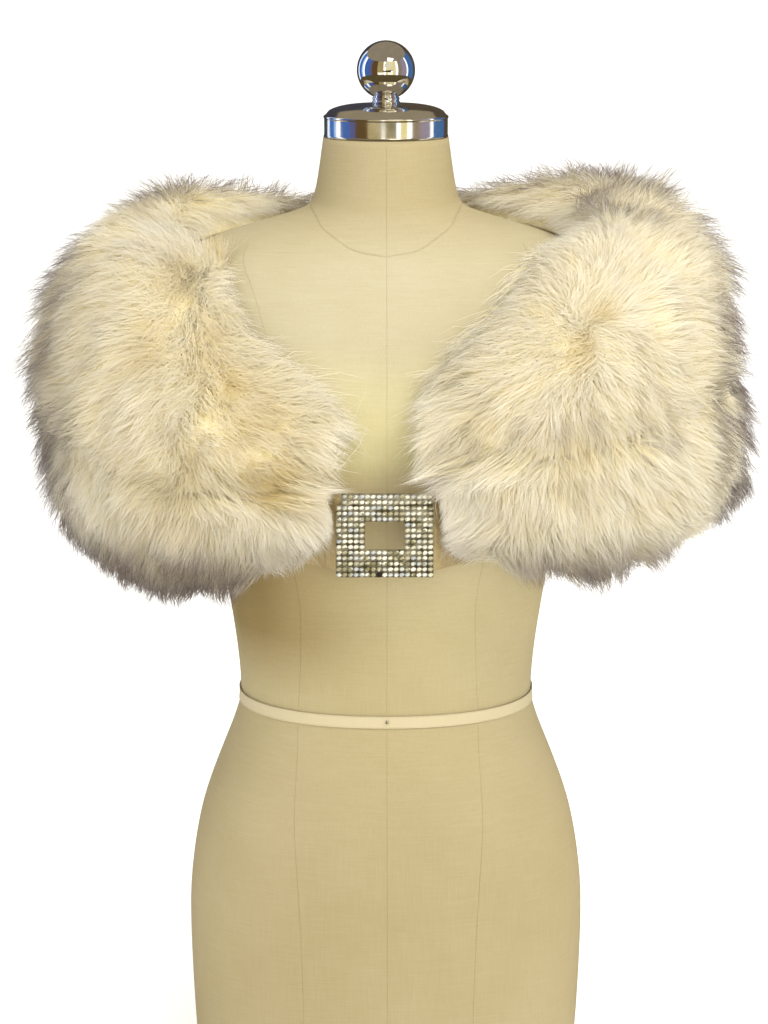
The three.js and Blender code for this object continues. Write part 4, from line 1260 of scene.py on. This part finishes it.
# Cards of light and colour that only the metal sees: name, colour, strength, corners
CARDS = [
    ("ceiling_card", "A0947E", 0.9, [(-4, -4, 2.9), (4, -4, 2.9), (4, 4, 2.9), (-4, 4, 2.9)]),
    ("ground_card", "7A6A48", 0.6,
     [(-3.1, -3.1, 0.004), (3.1, -3.1, 0.004), (3.1, 3.1, 0.004), (-3.1, 3.1, 0.004)]),
    ("soft_card", "FFF6E4", 2.6, [(0.2, -2.2, 2.5), (1.1, -2.2, 2.5), (1.1, -1.3, 2.5), (0.2, -1.3, 2.5)]),
    ("pale_cloth", "E6DCC4", 1.2,
     [(-0.3, -2.2, 1.35), (0.9, -2.3, 1.25), (0.7, -2.0, 2.1), (-0.2, -2.0, 1.9)]),
    ("low_card_left", "FFF8E6", 1.5,
     [(-1.6, -2.45, 0.08), (-0.55, -2.85, 0.08), (-0.55, -2.85, 0.5), (-1.6, -2.45, 0.5)]),
    ("low_card_right", "FFF8E6", 1.6,
     [(0.45, -2.9, 0.08), (1.3, -2.6, 0.08), (1.3, -2.6, 0.5), (0.45, -2.9, 0.5)]),
    ("brown_shelf", "33281A", 0.6,
     [(-0.5, -2.75, 0.62), (1.5, -2.6, 0.6), (1.5, -2.6, 0.95), (-0.5, -2.75, 0.9)]),
    ("white_leaf", "FFFFFF", 2.2,
     [(0.8, -2.4, 0.55), (1.1, -2.3, 0.6), (1.25, -2.2, 0.85), (0.9, -2.4, 0.8)]),
]
for first, last, code, strength in ROOM_STRIPES:
    feet = [place(a, 3000, -WAIST_HEIGHT) / 1000 for a in (first, (first + last) / 2, last)]
    for part in (0, 1):
        left, right = feet[part], feet[part + 1]
        corners = [(left.x, left.y, 0), (right.x, right.y, 0), (right.x, right.y, 2.9), (left.x, left.y, 2.9)]
        CARDS.append((f"stripe_{first + 180}_{part}", code, strength, corners))
for card_name, code, strength, corners in CARDS:
    glow = plain_material(card_name, "Emission", {"Color": linear(code), "Strength": strength})
    card = stage_sheet(card_name, glow, corners)
    card.visible_camera = False
    card.visible_diffuse = False
    card.visible_shadow = False
    card.visible_transmission = False


# Soft lamps: name, place, height looked at, width and height, watts, colour
LAMPS = [
    ("key_light", (1.1, -1.6, 3.1), 0.6, (2.0, 1.6), 91, (1.0, 0.99, 0.965)),
    ("fill_light", (-2.4, -1.7, 1.5), 0.5, (1.6, 1.6), 27, (0.97, 0.98, 1.0)),
    ("front_light", (0.9, -3.2, 1.5), 0.6, (2.2, 1.3), 39, (1.0, 0.99, 0.97)),
    ("side_light", (2.8, -0.9, 1.3), 0.65, (1.2, 1.2), 18, (1.0, 0.99, 0.97)),
    ("back_light", (0.0, 2.4, 2.8), 0.6, (2.4, 1.2), 34, (1.0, 1.0, 1.0)),
]
for lamp_name, spot, height, size, watts, colour in LAMPS:
    light = bpy.data.lights.new(lamp_name, "AREA")
    light.shape = "RECTANGLE"
    light.size = size[0]
    light.size_y = size[1]
    light.energy = watts
    light.color = colour
    lamp = new_object(lamp_name, light)
    lamp.location = spot
    lamp.rotation_euler = (Vector((0, 0, height)) - Vector(spot)).to_track_quat("-Z", "Y").to_euler()
    lamp.visible_glossy = False

world = bpy.data.worlds.new("soft_room")
bpy.context.scene.world = world
world.use_nodes = True
world.node_tree.nodes.clear()
sky = add_node(world.node_tree, "Background", {"Color": (1.0, 0.985, 0.96, 1.0), "Strength": 0.92})
add_node(world.node_tree, "OutputWorld", {"Surface": sky})
bpy.context.scene.view_settings.view_transform = "Standard"
bpy.context.scene.view_settings.look = "None"
bpy.context.scene.view_settings.exposure = 0.0

camera_data = bpy.data.cameras.new("camera")
camera_data.lens = 86.2
camera_data.sensor_width = 36
camera_data.sensor_fit = "AUTO"
camera_data.clip_end = 60
camera = new_object("camera", camera_data)
camera.location = (-0.0016, -2.0, 0.972)
camera.rotation_euler = (math.radians(90 - 12.9), 0, 0)
bpy.context.scene.camera = camera
